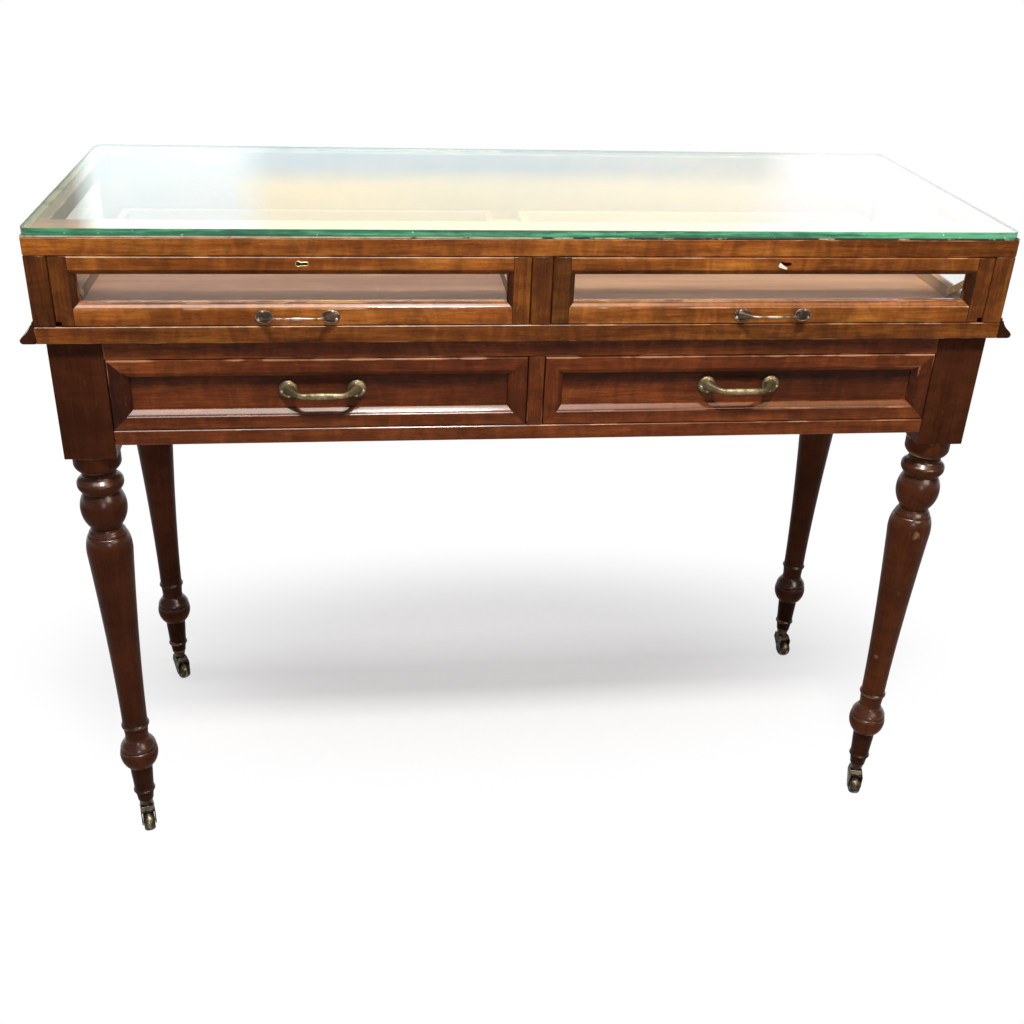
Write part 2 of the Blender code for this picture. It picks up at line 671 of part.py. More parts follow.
def build_glass_top(materials):
    """Bedding strip and the rounded plate of glass that covers the case."""
    low = (-CASE_HALF, CASE_FRONT)
    high = (CASE_HALF, CASE_BACK)
    width = [BEDDING_WIDTH] * 4
    levels = [BEDDING_BOTTOM, BEDDING_BOTTOM + BEDDING_THICKNESS]
    bedding = framed_mesh("glass_bedding", low, high, "Z", levels, [width, width], True)
    place("glass_bedding", bedding, materials["felt"])
    radius = GLASS_CORNER_RADIUS
    corners = [(high[0], high[1], 0), (low[0], high[1], 90), (low[0], low[1], 180), (high[0], low[1], 270)]
    outline = []
    for x, y, start in corners:
        centre = (x - math.copysign(radius, x), y - math.copysign(radius, y))
        outline += arc(centre, radius, start, start + 90)
    plate = prism_mesh("glass_top", outline, "Z", GLASS_BOTTOM, GLASS_BOTTOM + GLASS_THICKNESS)
    place("glass_top", plate, materials["plate_glass"])


def build_case(materials):
    """Rails, posts, end panes, mouldings, back and floor of the glazed case."""
    wood = materials["case_wood"]
    rail = box_mesh("case_top_rail", (-CASE_HALF, CASE_FRONT, DISPLAY_OPENING_TOP),
                    (CASE_HALF, CASE_FRONT + TOP_RAIL_DEPTH, CASE_TOP))
    mortise_half = BOLT_WIDTH / 2 + MORTISE_CLEARANCE
    mortise_depth = BOLT_THICKNESS / 2 + MORTISE_CLEARANCE
    for side in SIDES.values():
        x = side * DISPLAY_CENTRE + KEYHOLE_OFFSET
        y = CASE_FRONT + BOLT_PLANE
        mortise = box_mesh("mortise", (x - mortise_half, y - mortise_depth, DISPLAY_OPENING_TOP - CUT),
                           (x + mortise_half, y + mortise_depth, DISPLAY_OPENING_TOP + BOLT_THROW))
        rail = combine(rail, mortise, "DIFFERENCE")
    place("case_top_rail", rail, wood)
    post_back = CASE_FRONT + POST_DEPTH
    post_low = DISPLAY_OPENING_Z + FIT
    post_high = DISPLAY_OPENING_TOP - FIT
    half_stile = CENTRE_STILE_WIDTH / 2
    block("case_centre_stile", (-half_stile, CASE_FRONT, post_low), (half_stile, post_back, post_high), wood)
    block("case_bottom_rail", (-CASE_HALF, CASE_FRONT, CASE_BOTTOM),
          (CASE_HALF, post_back, DISPLAY_OPENING_Z), wood)
    block("case_back_board", (-CASE_HALF, CASE_INNER_BACK, CASE_BOTTOM),
          (CASE_HALF, CASE_BACK, CASE_TOP), wood)
    inner_back = CASE_INNER_BACK - FIT
    for word, side in SIDES.items():
        near, far = sorted((side * CASE_HALF, side * (CASE_HALF - POST_WIDTH)))
        block(f"case_post_{word}", (near, CASE_FRONT, post_low), (far, post_back, post_high), wood)
        near, far = sorted((side * CASE_HALF, side * CASE_INNER_HALF))
        block(f"end_top_rail_{word}", (near, CASE_FRONT + TOP_RAIL_DEPTH + FIT, DISPLAY_OPENING_TOP),
              (far, inner_back, CASE_TOP), wood)
        rail_top = CASE_BOTTOM + END_RAIL_HEIGHT
        block(f"end_bottom_rail_{word}", (near, post_back + FIT, CASE_BOTTOM),
              (far, inner_back, rail_top), wood)
        middle = (near + far) / 2
        half_pane = END_GLASS_THICKNESS / 2
        block(f"end_glass_{word}", (middle - half_pane, post_back + FIT, rail_top + FIT),
              (middle + half_pane, inner_back, DISPLAY_OPENING_TOP - FIT), materials["clear_glass"])
        moulding = prism_mesh(f"end_moulding_{word}", moulding_outline(side), "Y", CASE_FRONT, CASE_BACK)
        place(f"end_moulding_{word}", moulding, materials["dark_wood"])
    build_case_floor(materials, post_back + FIT, inner_back)


def build_case_floor(materials, front, back):
    """Floor of the case, with the guides that the display trays run between."""
    edge = CASE_INNER_HALF - FIT
    low = DISPLAY_OPENING_Z - FLOOR_THICKNESS
    guide_top = DISPLAY_OPENING_Z + FLOOR_GUIDE_HEIGHT
    outer_guide = DISPLAY_CENTRE + TRAY_HALF + GUIDE_CLEARANCE
    inner_guide = DISPLAY_CENTRE - TRAY_HALF - GUIDE_CLEARANCE
    right = [(inner_guide, guide_top), (inner_guide, DISPLAY_OPENING_Z), (outer_guide, DISPLAY_OPENING_Z),
             (outer_guide, guide_top), (edge, guide_top), (edge, low)]
    left = [(-x, z) for x, z in reversed(right)]
    floor = prism_mesh("case_floor", right + left, "Y", front, back)
    place("case_floor", floor, materials["inner_wood"])


def build_display_drawer(word, side, materials):
    """One display drawer: glazed front, pane, tray, braces, handle and lock, carried by an empty."""
    name = f"display_drawer_{word}"
    body = pivot(name, (side * DISPLAY_CENTRE, CASE_FRONT, DISPLAY_OPENING_Z))
    half = DISPLAY_OPENING_WIDTH / 2 - DRAWER_GAP
    low = DRAWER_GAP
    high = DISPLAY_OPENING_HEIGHT - DRAWER_GAP
    bevel = FRONT_BEVEL_WIDTH
    face = [FRONT_STILE_WIDTH, FRONT_STILE_WIDTH, FRONT_BOTTOM_RAIL_WIDTH, FRONT_TOP_RAIL_WIDTH]
    sight = [width + bevel for width in face]
    rebate = [width - PANE_REBATE for width in sight]
    levels = [0.0, FRONT_BEVEL_DEPTH, PANE_SEAT_DEPTH, PANE_SEAT_DEPTH, FRONT_THICKNESS]
    front = framed_mesh(f"{name}_front", (-half, low), (half, high), "Y", levels,
                        [face, sight, sight, rebate, rebate], True)
    key_x = KEYHOLE_OFFSET
    key_z = high - FRONT_TOP_RAIL_WIDTH / 2
    keyhole = prism_mesh("keyhole", keyhole_outline(key_x, key_z), "Y", -CUT, FRONT_THICKNESS + CUT)
    front = combine(front, keyhole, "DIFFERENCE")
    near, far = sorted((side * (half + CUT), side * (half - NOTCH_WIDTH)))
    notch = box_mesh("notch", (near, -CUT, low - CUT), (far, FRONT_THICKNESS + CUT, low + NOTCH_HEIGHT))
    front = combine(front, notch, "DIFFERENCE")
    place(f"{name}_front", front, materials["case_wood"], parent=body)
    pane_half = half - rebate[0] - FIT
    pane_front = PANE_SEAT_DEPTH + FIT
    block(f"{name}_pane", (-pane_half, pane_front, low + rebate[2] + FIT),
          (pane_half, pane_front + PANE_THICKNESS, high - rebate[3] - FIT), materials["clear_glass"], body)
    build_tray(name, body, materials)
    build_lock(name, body, high, materials)
    handle = handle_mesh(f"{name}_handle", DISPLAY_HANDLE_SPACING, DISPLAY_HANDLE_REACH,
                         DISPLAY_HANDLE_DROP, DISPLAY_BAR_RADII)
    place(f"{name}_handle", handle, materials["bronze"], (0, 0, low + FRONT_BOTTOM_RAIL_WIDTH / 2), body)


def build_tray(name, body, materials):
    """Low-sided tray behind a display drawer's front, and the braces that stiffen the front."""
    front = FRONT_THICKNESS + FIT
    back = CASE_DEPTH - BACK_THICKNESS - TRAY_BACK_GAP
    floor = DRAWER_LIFT + TRAY_FLOOR
    rim = floor + TRAY_SIDE_HEIGHT
    inner = TRAY_HALF - TRAY_WALL
    tray = box_mesh(f"{name}_tray", (-TRAY_HALF, front, DRAWER_LIFT), (TRAY_HALF, back, rim))
    hollow = box_mesh("hollow", (-inner, front - CUT, floor), (inner, back - TRAY_WALL, rim + CUT))
    tray = combine(tray, hollow, "DIFFERENCE")
    place(f"{name}_tray", tray, materials["tray_wood"], parent=body)
    foot_z = floor + BRACE_FOOT_LIFT
    tab_back = front + BRACE_THICKNESS
    slope = Vector((-BRACE_RUN, BRACE_RISE)).normalized()
    across = Vector((slope.y, -slope.x)) * BRACE_WIDTH / 2
    foot = Vector((tab_back + BRACE_RUN, foot_z))
    head = Vector((tab_back - BRACE_THICKNESS / 2, foot_z + BRACE_RISE))
    outline = [foot + across, foot - across, head - across, head + across]
    for word, side in SIDES.items():
        outer = side * (inner - FIT)
        near, far = sorted((outer, outer - side * BRACE_THICKNESS))
        bar = prism_mesh(f"{name}_brace_{word}", outline, "X", near, far)
        tab_near, tab_far = sorted((outer - side * BRACE_THICKNESS, outer + side * BRACE_TAB_WIDTH))
        tab_low = head.y - BRACE_TAB_HEIGHT / 2
        tab = box_mesh("tab", (tab_near, front, tab_low), (tab_far, tab_back, tab_low + BRACE_TAB_HEIGHT))
        wall = box_mesh("wall", (near - CUT, front - BRACE_RUN, 0),
                        (far + CUT, front, foot_z + 2 * BRACE_RISE))
        bar = combine(bar, wall, "DIFFERENCE")
        bar = combine(bar, tab, "UNION")
        place(f"{name}_brace_{word}", bar, materials["brass"], parent=body)


def build_lock(name, body, front_top, materials):
    """Lock case behind a display drawer's top rail, and the bolt that rises out of it."""
    front = FRONT_THICKNESS + FIT
    top = front_top - LOCK_DROP
    low = top - LOCK_HEIGHT
    x = KEYHOLE_OFFSET
    half_case = LOCK_WIDTH / 2
    case = box_mesh(f"{name}_lock", (x - half_case, front, low), (x + half_case, front + LOCK_DEPTH, top))
    half_width = BOLT_WIDTH / 2
    half_depth = BOLT_THICKNESS / 2
    bolt_low = top - BOLT_HEIGHT
    slot = box_mesh("slot", (x - half_width - FIT, BOLT_PLANE - half_depth - FIT, bolt_low - FIT),
                    (x + half_width + FIT, BOLT_PLANE + half_depth + FIT, top + CUT))
    case = combine(case, slot, "DIFFERENCE")
    place(f"{name}_lock", case, materials["brass"], parent=body)
    bolt_body = pivot(f"{name}_bolt_slide", (x, BOLT_PLANE, bolt_low), body)
    block(f"{name}_bolt", (-half_width, -half_depth, 0), (half_width, half_depth, BOLT_HEIGHT),
          materials["brass"], bolt_body)


def build_lower_drawer(word, side, materials):
    """One lower drawer: front with a moulded, sunk panel, box and handle, carried by an empty."""
    name = f"lower_drawer_{word}"
    body = pivot(name, (side * LOWER_CENTRE, FRIEZE_FRONT, LOWER_OPENING_Z))
    half = LOWER_OPENING_WIDTH / 2 - DRAWER_GAP
    low = DRAWER_GAP
    high = LOWER_OPENING_HEIGHT - DRAWER_GAP
    levels = [0.0, LOWER_FILLET_DEPTH]
    widths = [LOWER_FRAME_WIDTH, LOWER_FRAME_WIDTH]
    start = LOWER_FRAME_WIDTH + LOWER_FILLET_WIDTH
    fall = LOWER_PANEL_DEPTH - LOWER_FILLET_DEPTH
    for index in range(HOLLOW_STEPS + 1):
        angle = math.pi / 2 * index / HOLLOW_STEPS
        levels.append(LOWER_FILLET_DEPTH + fall * (1 - math.cos(angle)))
        widths.append(start + LOWER_MOULDING_WIDTH * math.sin(angle))
    levels.append(LOWER_FRONT_THICKNESS)
    insets = [[width] * 4 for width in widths]
    front = framed_mesh(f"{name}_front", (-half, low), (half, high), "Y", levels, insets, False)
    place(f"{name}_front", front, materials["frieze_wood"], parent=body)
    box_front = LOWER_FRONT_THICKNESS + FIT
    box_back = BACK_APRON_FRONT - FRIEZE_FRONT - LOWER_BOX_BACK_GAP
    top = DRAWER_LIFT + LOWER_BOX_HEIGHT
    floor = DRAWER_LIFT + LOWER_BOX_BOTTOM
    inner = LOWER_BOX_HALF - LOWER_BOX_WALL
    box = box_mesh(f"{name}_box", (-LOWER_BOX_HALF, box_front, DRAWER_LIFT), (LOWER_BOX_HALF, box_back, top))
    hollow = box_mesh("hollow", (-inner, box_front - CUT, floor),
                      (inner, box_back - LOWER_BOX_WALL, top + CUT))
    box = combine(box, hollow, "DIFFERENCE")
    place(f"{name}_box", box, materials["inner_wood"], parent=body)
    handle = handle_mesh(f"{name}_handle", LOWER_HANDLE_SPACING, LOWER_HANDLE_REACH,
                         LOWER_HANDLE_DROP, LOWER_BAR_RADII)
    place(f"{name}_handle", handle, materials["brass"],
          (0, LOWER_PANEL_DEPTH, LOWER_OPENING_HEIGHT / 2 + LOWER_HANDLE_RAISE), body)


def build_frieze(materials):
    """Rails, centre stile, aprons and drawer runners between the leg blocks."""
    wood = materials["frieze_wood"]
    edge = BLOCK_INNER - FIT
    back = FRIEZE_FRONT + FRIEZE_RAIL_DEPTH
    block("frieze_top_rail", (-edge, FRIEZE_FRONT, LOWER_OPENING_TOP), (edge, back, BASE_TOP), wood)
    block("frieze_bottom_rail", (-edge, FRIEZE_FRONT, FRIEZE_BOTTOM), (edge, back, LOWER_OPENING_Z), wood)
    half = FRIEZE_STILE_WIDTH / 2
    block("frieze_centre_stile", (-half, FRIEZE_FRONT, LOWER_OPENING_Z + FIT),
          (half, back, LOWER_OPENING_TOP - FIT), wood)
    block("back_apron", (-edge, BACK_APRON_FRONT, FRIEZE_BOTTOM),
          (edge, BACK_APRON_FRONT + APRON_THICKNESS, BASE_TOP), wood)
    runner_low = LOWER_OPENING_Z - RUNNER_HEIGHT
    runner_front = back + FIT
    runner_back = BACK_APRON_FRONT - FIT
    guide_top = LOWER_OPENING_Z + RUNNER_GUIDE_HEIGHT
    side_front = FRONT_BLOCK_BACK + FIT
    side_back = BACK_BLOCK_FRONT - FIT
    outer_guide = LOWER_CENTRE + LOWER_BOX_HALF + GUIDE_CLEARANCE
    inner_guide = LOWER_CENTRE - LOWER_BOX_HALF - GUIDE_CLEARANCE
    for word, side in SIDES.items():
        near, far = sorted((side * APRON_OUTER, side * APRON_INNER))
        block(f"end_apron_{word}", (near, side_front, FRIEZE_BOTTOM), (far, side_back, BASE_TOP), wood)
        near, far = sorted((side * edge, side * (edge - RUNNER_WIDTH)))
        runner = box_mesh(f"drawer_runner_{word}", (near, runner_front, runner_low),
                          (far, runner_back, LOWER_OPENING_Z))
        near, far = sorted((side * (APRON_INNER - FIT), side * outer_guide))
        guide = box_mesh("guide", (near, side_front, runner_low), (far, side_back, guide_top))
        runner = combine(runner, guide, "UNION")
        place(f"drawer_runner_{word}", runner, materials["inner_wood"])
    reach = half + RUNNER_WIDTH
    outline = [(-reach, runner_low), (reach, runner_low), (reach, LOWER_OPENING_Z),
               (inner_guide, LOWER_OPENING_Z), (inner_guide, guide_top), (-inner_guide, guide_top),
               (-inner_guide, LOWER_OPENING_Z), (-reach, LOWER_OPENING_Z)]
    runner = prism_mesh("drawer_runner_centre", outline, "Y", runner_front, runner_back)
    place("drawer_runner_centre", runner, materials["inner_wood"])


def build_legs_and_castors(materials):
    """Four legs, each with a castor whose horn swivels about the leg and whose wheel turns on its axle."""
    leg = leg_mesh()
    horn = horn_mesh()
    wheel = wheel_mesh()
    leg_x = BLOCK_OUTER - BLOCK_SIZE / 2
    rows = {"front": FRIEZE_FRONT + BLOCK_SIZE / 2, "back": CASE_BACK - BLOCK_SIZE / 2}
    for row, leg_y in rows.items():
        for word, side in SIDES.items():
            corner = f"{row}_{word}"
            heading = CASTOR_HEADINGS[corner]
            foot = Vector((side * leg_x, leg_y, 0))
            place(f"leg_{corner}", leg, materials["dark_wood"], foot)
            place(f"castor_horn_{corner}", horn, materials["castor_brass"], foot, turn=heading)
            trail = Vector((math.cos(heading), math.sin(heading), 0)) * CASTOR_TRAIL
            hub = foot + trail + Vector((0, 0, WHEEL_RADIUS))
            place(f"castor_wheel_{corner}", wheel, materials["castor_brass"], hub, turn=heading)


def main():
    """Build the whole table."""
    clear_scene()
    materials = {
        "case_wood": finish("case_wood", (0.22, 0.075, 0.018), 0.32),
        "frieze_wood": finish("frieze_wood", (0.11, 0.026, 0.008), 0.30),
        "dark_wood": finish("dark_wood", (0.050, 0.014, 0.006), 0.30),
        "tray_wood": finish("tray_wood", (0.27, 0.17, 0.12), 0.55),
        "inner_wood": finish("inner_wood", (0.20, 0.10, 0.045), 0.60),
        "plate_glass": finish("plate_glass", (0.55, 0.85, 0.72), 0.03, alpha=0.35),
        "clear_glass": finish("clear_glass", (0.85, 0.90, 0.88), 0.03, alpha=0.35),
        "felt": finish("felt", (0.55, 0.46, 0.34), 0.90),
        "brass": finish("brass", (0.44, 0.33, 0.15), 0.38, 0.9),
        "bronze": finish("bronze", (0.16, 0.12, 0.09), 0.40, 0.9),
        "castor_brass": finish("castor_brass", (0.20, 0.16, 0.09), 0.45, 0.9),
    }
    build_legs_and_castors(materials)
    build_frieze(materials)
    build_case(materials)
    build_glass_top(materials)
    for word, side in SIDES.items():
        build_display_drawer(word, side, materials)
        build_lower_drawer(word, side, materials)


main()
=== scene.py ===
"""Looks of the display table: old polished wood, plate glass and aged brass, on a plain white stage.

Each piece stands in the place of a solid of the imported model, or is thin trim fixed to one. Units are metres,
+Z is up and the front faces -Y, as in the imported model.
"""

import json
import logging
import math
import random
from dataclasses import dataclass, field
from enum import Enum
from typing import Any, Callable, Iterable, Iterator, Sequence

import bmesh
import bpy
from mathutils import Matrix, Vector

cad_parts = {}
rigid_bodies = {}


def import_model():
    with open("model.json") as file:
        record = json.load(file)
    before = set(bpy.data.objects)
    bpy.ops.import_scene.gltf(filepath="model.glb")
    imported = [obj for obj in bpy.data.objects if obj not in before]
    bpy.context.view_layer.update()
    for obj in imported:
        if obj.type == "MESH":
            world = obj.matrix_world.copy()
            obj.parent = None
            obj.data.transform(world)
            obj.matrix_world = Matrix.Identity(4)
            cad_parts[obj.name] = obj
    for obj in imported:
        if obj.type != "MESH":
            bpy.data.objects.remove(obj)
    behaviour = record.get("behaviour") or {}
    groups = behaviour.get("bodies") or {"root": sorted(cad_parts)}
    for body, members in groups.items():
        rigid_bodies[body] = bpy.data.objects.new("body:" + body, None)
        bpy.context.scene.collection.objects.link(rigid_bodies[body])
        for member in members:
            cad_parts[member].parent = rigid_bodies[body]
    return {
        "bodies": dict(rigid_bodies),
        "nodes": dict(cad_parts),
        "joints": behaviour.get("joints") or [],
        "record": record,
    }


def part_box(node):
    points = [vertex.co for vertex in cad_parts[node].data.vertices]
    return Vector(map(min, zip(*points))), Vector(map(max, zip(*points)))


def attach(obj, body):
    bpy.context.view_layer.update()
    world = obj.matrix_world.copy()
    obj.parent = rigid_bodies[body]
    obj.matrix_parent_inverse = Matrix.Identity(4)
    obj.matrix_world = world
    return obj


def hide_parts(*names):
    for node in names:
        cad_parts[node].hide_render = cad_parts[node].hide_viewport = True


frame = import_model()

Colour = tuple[float, float, float]
Place = tuple[float, float, float]
Marks = tuple[float, float, float]
Point = tuple[float, float]
Rise = tuple[float, float, float, float]
Socket = bpy.types.NodeSocket

log = logging.getLogger("display_table")
dice = random.Random(1890)
SIDES = {"left": -1, "right": 1}

# Gap between pieces that touch, reach of a cutter past what it cuts, and spare length that a saw takes off.
FIT = 0.0003
CUT = 0.002
SPARE = 0.006

# Rounding of edges: glass sheets, thin boards and metal, and plain inner boards.
GLASS_EASE = 0.0003
FINE_EASE = 0.0004
BOARD_EASE = 0.0008


class Axis(Enum):
    """Direction that a board's grain, a bar or a turned shape runs in."""

    X = (0, 2, 1)
    Y = (1, 0, 2)
    Z = (2, 0, 1)

    def place(self, along: float, pair: Point) -> Vector:
        """Put a distance along the axis together with the other two coordinates, in X, Y, Z order.

        Args:
            along: coordinate along the axis.
            pair: the other two coordinates.

        Returns:
            The point.
        """
        coordinates = list(pair)
        coordinates.insert(self.value[0], along)
        return Vector(coordinates)


class Sketch:
    """A material being drawn: it adds nodes, links them and ends in its Principled shader."""

    def __init__(self, name: str) -> None:
        """Start a material.

        Args:
            name: name of the material.
        """
        self.material = bpy.data.materials.new(name)
        self.material.use_nodes = True
        self.tree = self.material.node_tree
        self.shader = self.tree.nodes["Principled BSDF"]
        self.output = self.tree.nodes["Material Output"]

    def feed(self, target: Socket, value: Any) -> None:
        """Link a socket to an input, or set the input's own value.

        Args:
            target: the input.
            value: a socket, a number, a tuple, or None to leave the input alone.
        """
        if isinstance(value, bpy.types.NodeSocket):
            self.tree.links.new(value, target)
        elif value is not None:
            colour = target.type == "RGBA" and len(value) == 3
            target.default_value = (*value, 1.0) if colour else value

    def add(self, kind: str, *values: Any, **options: Any) -> bpy.types.Node:
        """Add a node, set its options and feed its inputs in order.

        Args:
            kind: the node's type, without its ShaderNode prefix.
            values: what to feed its inputs with.
            options: the node's own options.

        Returns:
            The node.
        """
        node = self.tree.nodes.new(f"ShaderNode{kind}")
        for option, value in options.items():
            setattr(node, option, value)
        for target, value in zip(node.inputs, values):
            self.feed(target, value)
        return node

    def attribute(self, name: str) -> Socket:
        """Read a vector attribute of the mesh."""
        return self.add("Attribute", attribute_name=name).outputs["Vector"]

    def place(self) -> Socket:
        """Read the object's own coordinates."""
        return self.add("TexCoord").outputs["Object"]

    def split(self, vector: Socket) -> tuple[Socket, Socket, Socket]:
        """Take a vector apart into its three numbers."""
        outputs = self.add("SeparateXYZ", vector).outputs
        return outputs[0], outputs[1], outputs[2]

    def stretched(self, vector: Socket, factors: Place) -> Socket:
        """Multiply a vector by a factor in each direction."""
        return self.add("VectorMath", vector, factors, operation="MULTIPLY").outputs[0]

    def noise(self, vector: Socket, scale: float = 1.0, detail: float = 2.0, roughness: float = 0.5,
              distortion: float = 0.0) -> Socket:
        """Add a noise texture, whose value is about 0.5 on average."""
        settings = (None, scale, detail, roughness, None, None, None, distortion)
        return self.add("TexNoise", vector, *settings).outputs[0]

    def calc(self, operation: str, first: Any, second: Any = None, clamp: bool = False) -> Socket:
        """Work out one sum on two numbers, by the name of the Math node's operation."""
        return self.add("Math", first, second, operation=operation, use_clamp=clamp).outputs[0]

    def step(self, value: Socket, low: float, high: float, start: float = 0.0, stop: float = 1.0) -> Socket:
        """Ease from start to stop while a value rises from low to high."""
        node = self.add("MapRange", value, low, high, start, stop, interpolation_type="SMOOTHSTEP")
        return node.outputs[0]

    def ramp(self, value: Socket, stops: Sequence[tuple[float, Colour]]) -> Socket:
        """Turn a number into a colour.

        Args:
            value: the number.
            stops: places from 0 to 1 and the colours there.

        Returns:
            The colour.
        """
        node = self.add("ValToRGB", value)
        elements = node.color_ramp.elements
        while len(elements) < len(stops):
            elements.new(1.0)
        for element, (position, colour) in zip(elements, stops):
            element.position = position
            element.color = (*colour, 1.0)
        return node.outputs["Color"]

    def blend(self, factor: Any, first: Any, second: Any, mode: str = "MIX") -> Socket:
        """Mix a share of the second colour into the first."""
        unused = [None] * 5
        return self.add("Mix", factor, *unused, first, second, data_type="RGBA", blend_type=mode).outputs[2]

    def dim(self, colour: Socket, factor: Socket) -> Socket:
        """Multiply a colour by a number."""
        return self.add("VectorMath", colour, None, None, factor, operation="SCALE").outputs[0]

    def bump(self, height: Socket, strength: float, distance: float, under: Socket | None = None) -> Socket:
        """Raise the surface by a height, whose 1 is a distance in metres, over the bump under it."""
        return self.add("Bump", strength, distance, None, height, under).outputs[0]

    def finish(self, **inputs: Any) -> bpy.types.Material:
        """Feed the Principled shader and hand over the material.

        Args:
            inputs: the shader's inputs, with underscores for the spaces in their names.

        Returns:
            The material.
        """
        for name, value in inputs.items():
            words = name.replace("_", " ").title().replace("Ior", "IOR")
            self.feed(self.shader.inputs[words], value)
        return self.material


@dataclass(frozen=True)
class PolishedWood:
    """Old polished hardwood with short grain, cross figure, pores, worn edges, scuffs, and grime with painted
    shade in corners.

    The polish still shines on what leans upwards and has dulled on what stands upright.
    """

    name: str
    dark: Colour
    middle: Colour
    light: Colour
    worn: Colour
    roughness: float = 0.34
    dulled: float = 0.06
    shine: float = 0.05
    figure: float = 0.24
    scuffs: float = 0.15
    pores: float = 0.45
    gloss: float = 0.09
    upright: Point = (0.2, 0.5)
    shade: Colour = (0.28, 0.26, 0.30)
    soot_and_shade_colour: Colour = (0.010, 0.006, 0.004)

    def material(self) -> bpy.types.Material:
        """Draw the finish from the mesh's grain and state.

        Returns:
            The material.
        """
        s = Sketch(self.name)
        grain = s.attribute("grain")
        place = s.place()
        wear, tone, grime_and_shade = s.split(s.attribute("state"))
        lift = s.split(s.add("NewGeometry").outputs["Normal"])[2]
        wander = s.noise(s.stretched(grain, (3.0, 12.0, 12.0)))
        bent = s.add("VectorMath", wander, (0.0, 0.018, 0.014), grain, operation="MULTIPLY_ADD").outputs[0]
        rings = s.noise(s.stretched(bent, (5.0, 60.0, 60.0)), detail=4.0, roughness=0.55)
        streaks = s.noise(s.stretched(bent, (26.0, 320.0, 320.0)), detail=3.0, roughness=0.6)
        fibres = s.noise(s.stretched(grain, (90.0, 1500.0, 1500.0)))
        pores = s.step(s.noise(s.stretched(grain, (170.0, 2000.0, 2000.0)), detail=1.0), 0.60, 0.70)
        bars = s.noise(s.stretched(bent, (38.0, 16.0, 16.0)), detail=3.0, distortion=1.4)
        patches = s.noise(place, scale=7.0)
        flecks = s.noise(place, scale=150.0, detail=3.0)
        figure = s.calc("ADD", s.calc("MULTIPLY", rings, 0.55), s.calc("MULTIPLY", streaks, 0.30))
        figure = s.calc("ADD", figure, s.calc("MULTIPLY", fibres, 0.15))
        colour = s.ramp(figure, ((0.36, self.dark), (0.5, self.middle), (0.64, self.light)))
        sheen = s.step(bars, 0.34, 0.70, 1.0 - self.figure, 1.0 + self.figure)
        colour = s.dim(colour, s.calc("MULTIPLY", sheen, s.step(patches, 0.3, 0.7, 0.80, 1.20)))
        colour = s.blend(s.calc("MULTIPLY", pores, self.pores), colour, self.soot_and_shade_colour)
        colour = s.blend(tone, colour, self.shade, "MULTIPLY")
        handling = s.step(s.noise(place, scale=22.0, detail=3.0), 0.42, 0.68, 0.25, 1.0)
        rubbed = s.calc("MULTIPLY", wear, handling)
        rubbed = s.step(s.calc("ADD", rubbed, s.calc("MULTIPLY", flecks, 0.5)), 0.62, 1.25)
        colour = s.blend(rubbed, colour, self.worn)
        scuffed = s.step(s.noise(s.stretched(grain, (40.0, 130.0, 130.0)), detail=3.0), 0.70, 0.78)
        colour = s.blend(s.calc("MULTIPLY", scuffed, self.scuffs), colour, self.worn)
        # Soot darkens real grime and also the painted shade that the grime channel carries.
        soot_and_shade_mask = s.step(s.calc("ADD", grime_and_shade, s.calc("MULTIPLY", flecks, 0.4)), 0.35, 1.0)
        colour = s.blend(soot_and_shade_mask, colour, self.soot_and_shade_colour)
        rough = s.calc("ADD", s.step(streaks, 0.3, 0.7, -0.07, 0.09), self.roughness)
        rough = s.calc("ADD", rough, s.calc("MULTIPLY", scuffed, 0.2), clamp=True)
        height = s.calc("SUBTRACT", s.calc("ADD", fibres, streaks), pores)
        dents = s.bump(s.noise(place, scale=55.0), 0.10, 0.0012)
        polish = s.step(lift, *self.upright, self.dulled, 1.0)
        return s.finish(base_color=colour, roughness=rough, normal=s.bump(height, 0.22, 0.0003, dents),
                        specular_ior_level=self.shine, coat_weight=polish, coat_roughness=self.gloss,
                        coat_ior=1.4)


@dataclass(frozen=True)
class BareWood:
    """Unpolished or dulled wood of trays, drawer boxes and runners, dry, dusty and stained."""

    name: str
    dark: Colour
    light: Colour
    stain: Colour
    roughness: float = 0.62
    shine: float = 0.25

    def material(self) -> bpy.types.Material:
        """Draw the finish from the mesh's grain and state.

        Returns:
            The material.
        """
        s = Sketch(self.name)
        grain = s.attribute("grain")
        place = s.place()
        wear, tone, grime_and_shade = s.split(s.attribute("state"))
        wander = s.noise(s.stretched(grain, (1.6, 8.0, 8.0)))
        bent = s.add("VectorMath", wander, (0.0, 0.022, 0.016), grain, operation="MULTIPLY_ADD").outputs[0]
        rings = s.noise(s.stretched(bent, (1.3, 40.0, 40.0)), detail=4.0)
        streaks = s.noise(s.stretched(bent, (6.0, 170.0, 170.0)), detail=2.0)
        figure = s.calc("ADD", s.calc("MULTIPLY", rings, 0.65), s.calc("MULTIPLY", streaks, 0.35))
        colour = s.ramp(figure, ((0.36, self.dark), (0.64, self.light)))
        blots = s.step(s.noise(place, scale=9.0, detail=4.0), 0.52, 0.74)
        colour = s.blend(s.calc("MULTIPLY", blots, 0.55), colour, self.stain)
        rubbed = s.step(s.calc("MULTIPLY", wear, s.noise(place, scale=60.0, detail=3.0)), 0.35, 0.7)
        colour = s.blend(s.calc("MULTIPLY", rubbed, 0.6), colour, self.light)
        colour = s.blend(tone, colour, (0.42, 0.38, 0.37), "MULTIPLY")
        colour = s.blend(s.step(grime_and_shade, 0.3, 1.0), colour, (0.02, 0.013, 0.009))
        rough = s.calc("ADD", s.step(streaks, 0.3, 0.7, -0.08, 0.10), self.roughness)
        return s.finish(base_color=colour, roughness=rough, normal=s.bump(streaks, 0.14, 0.0004),
                        specular_ior_level=self.shine)


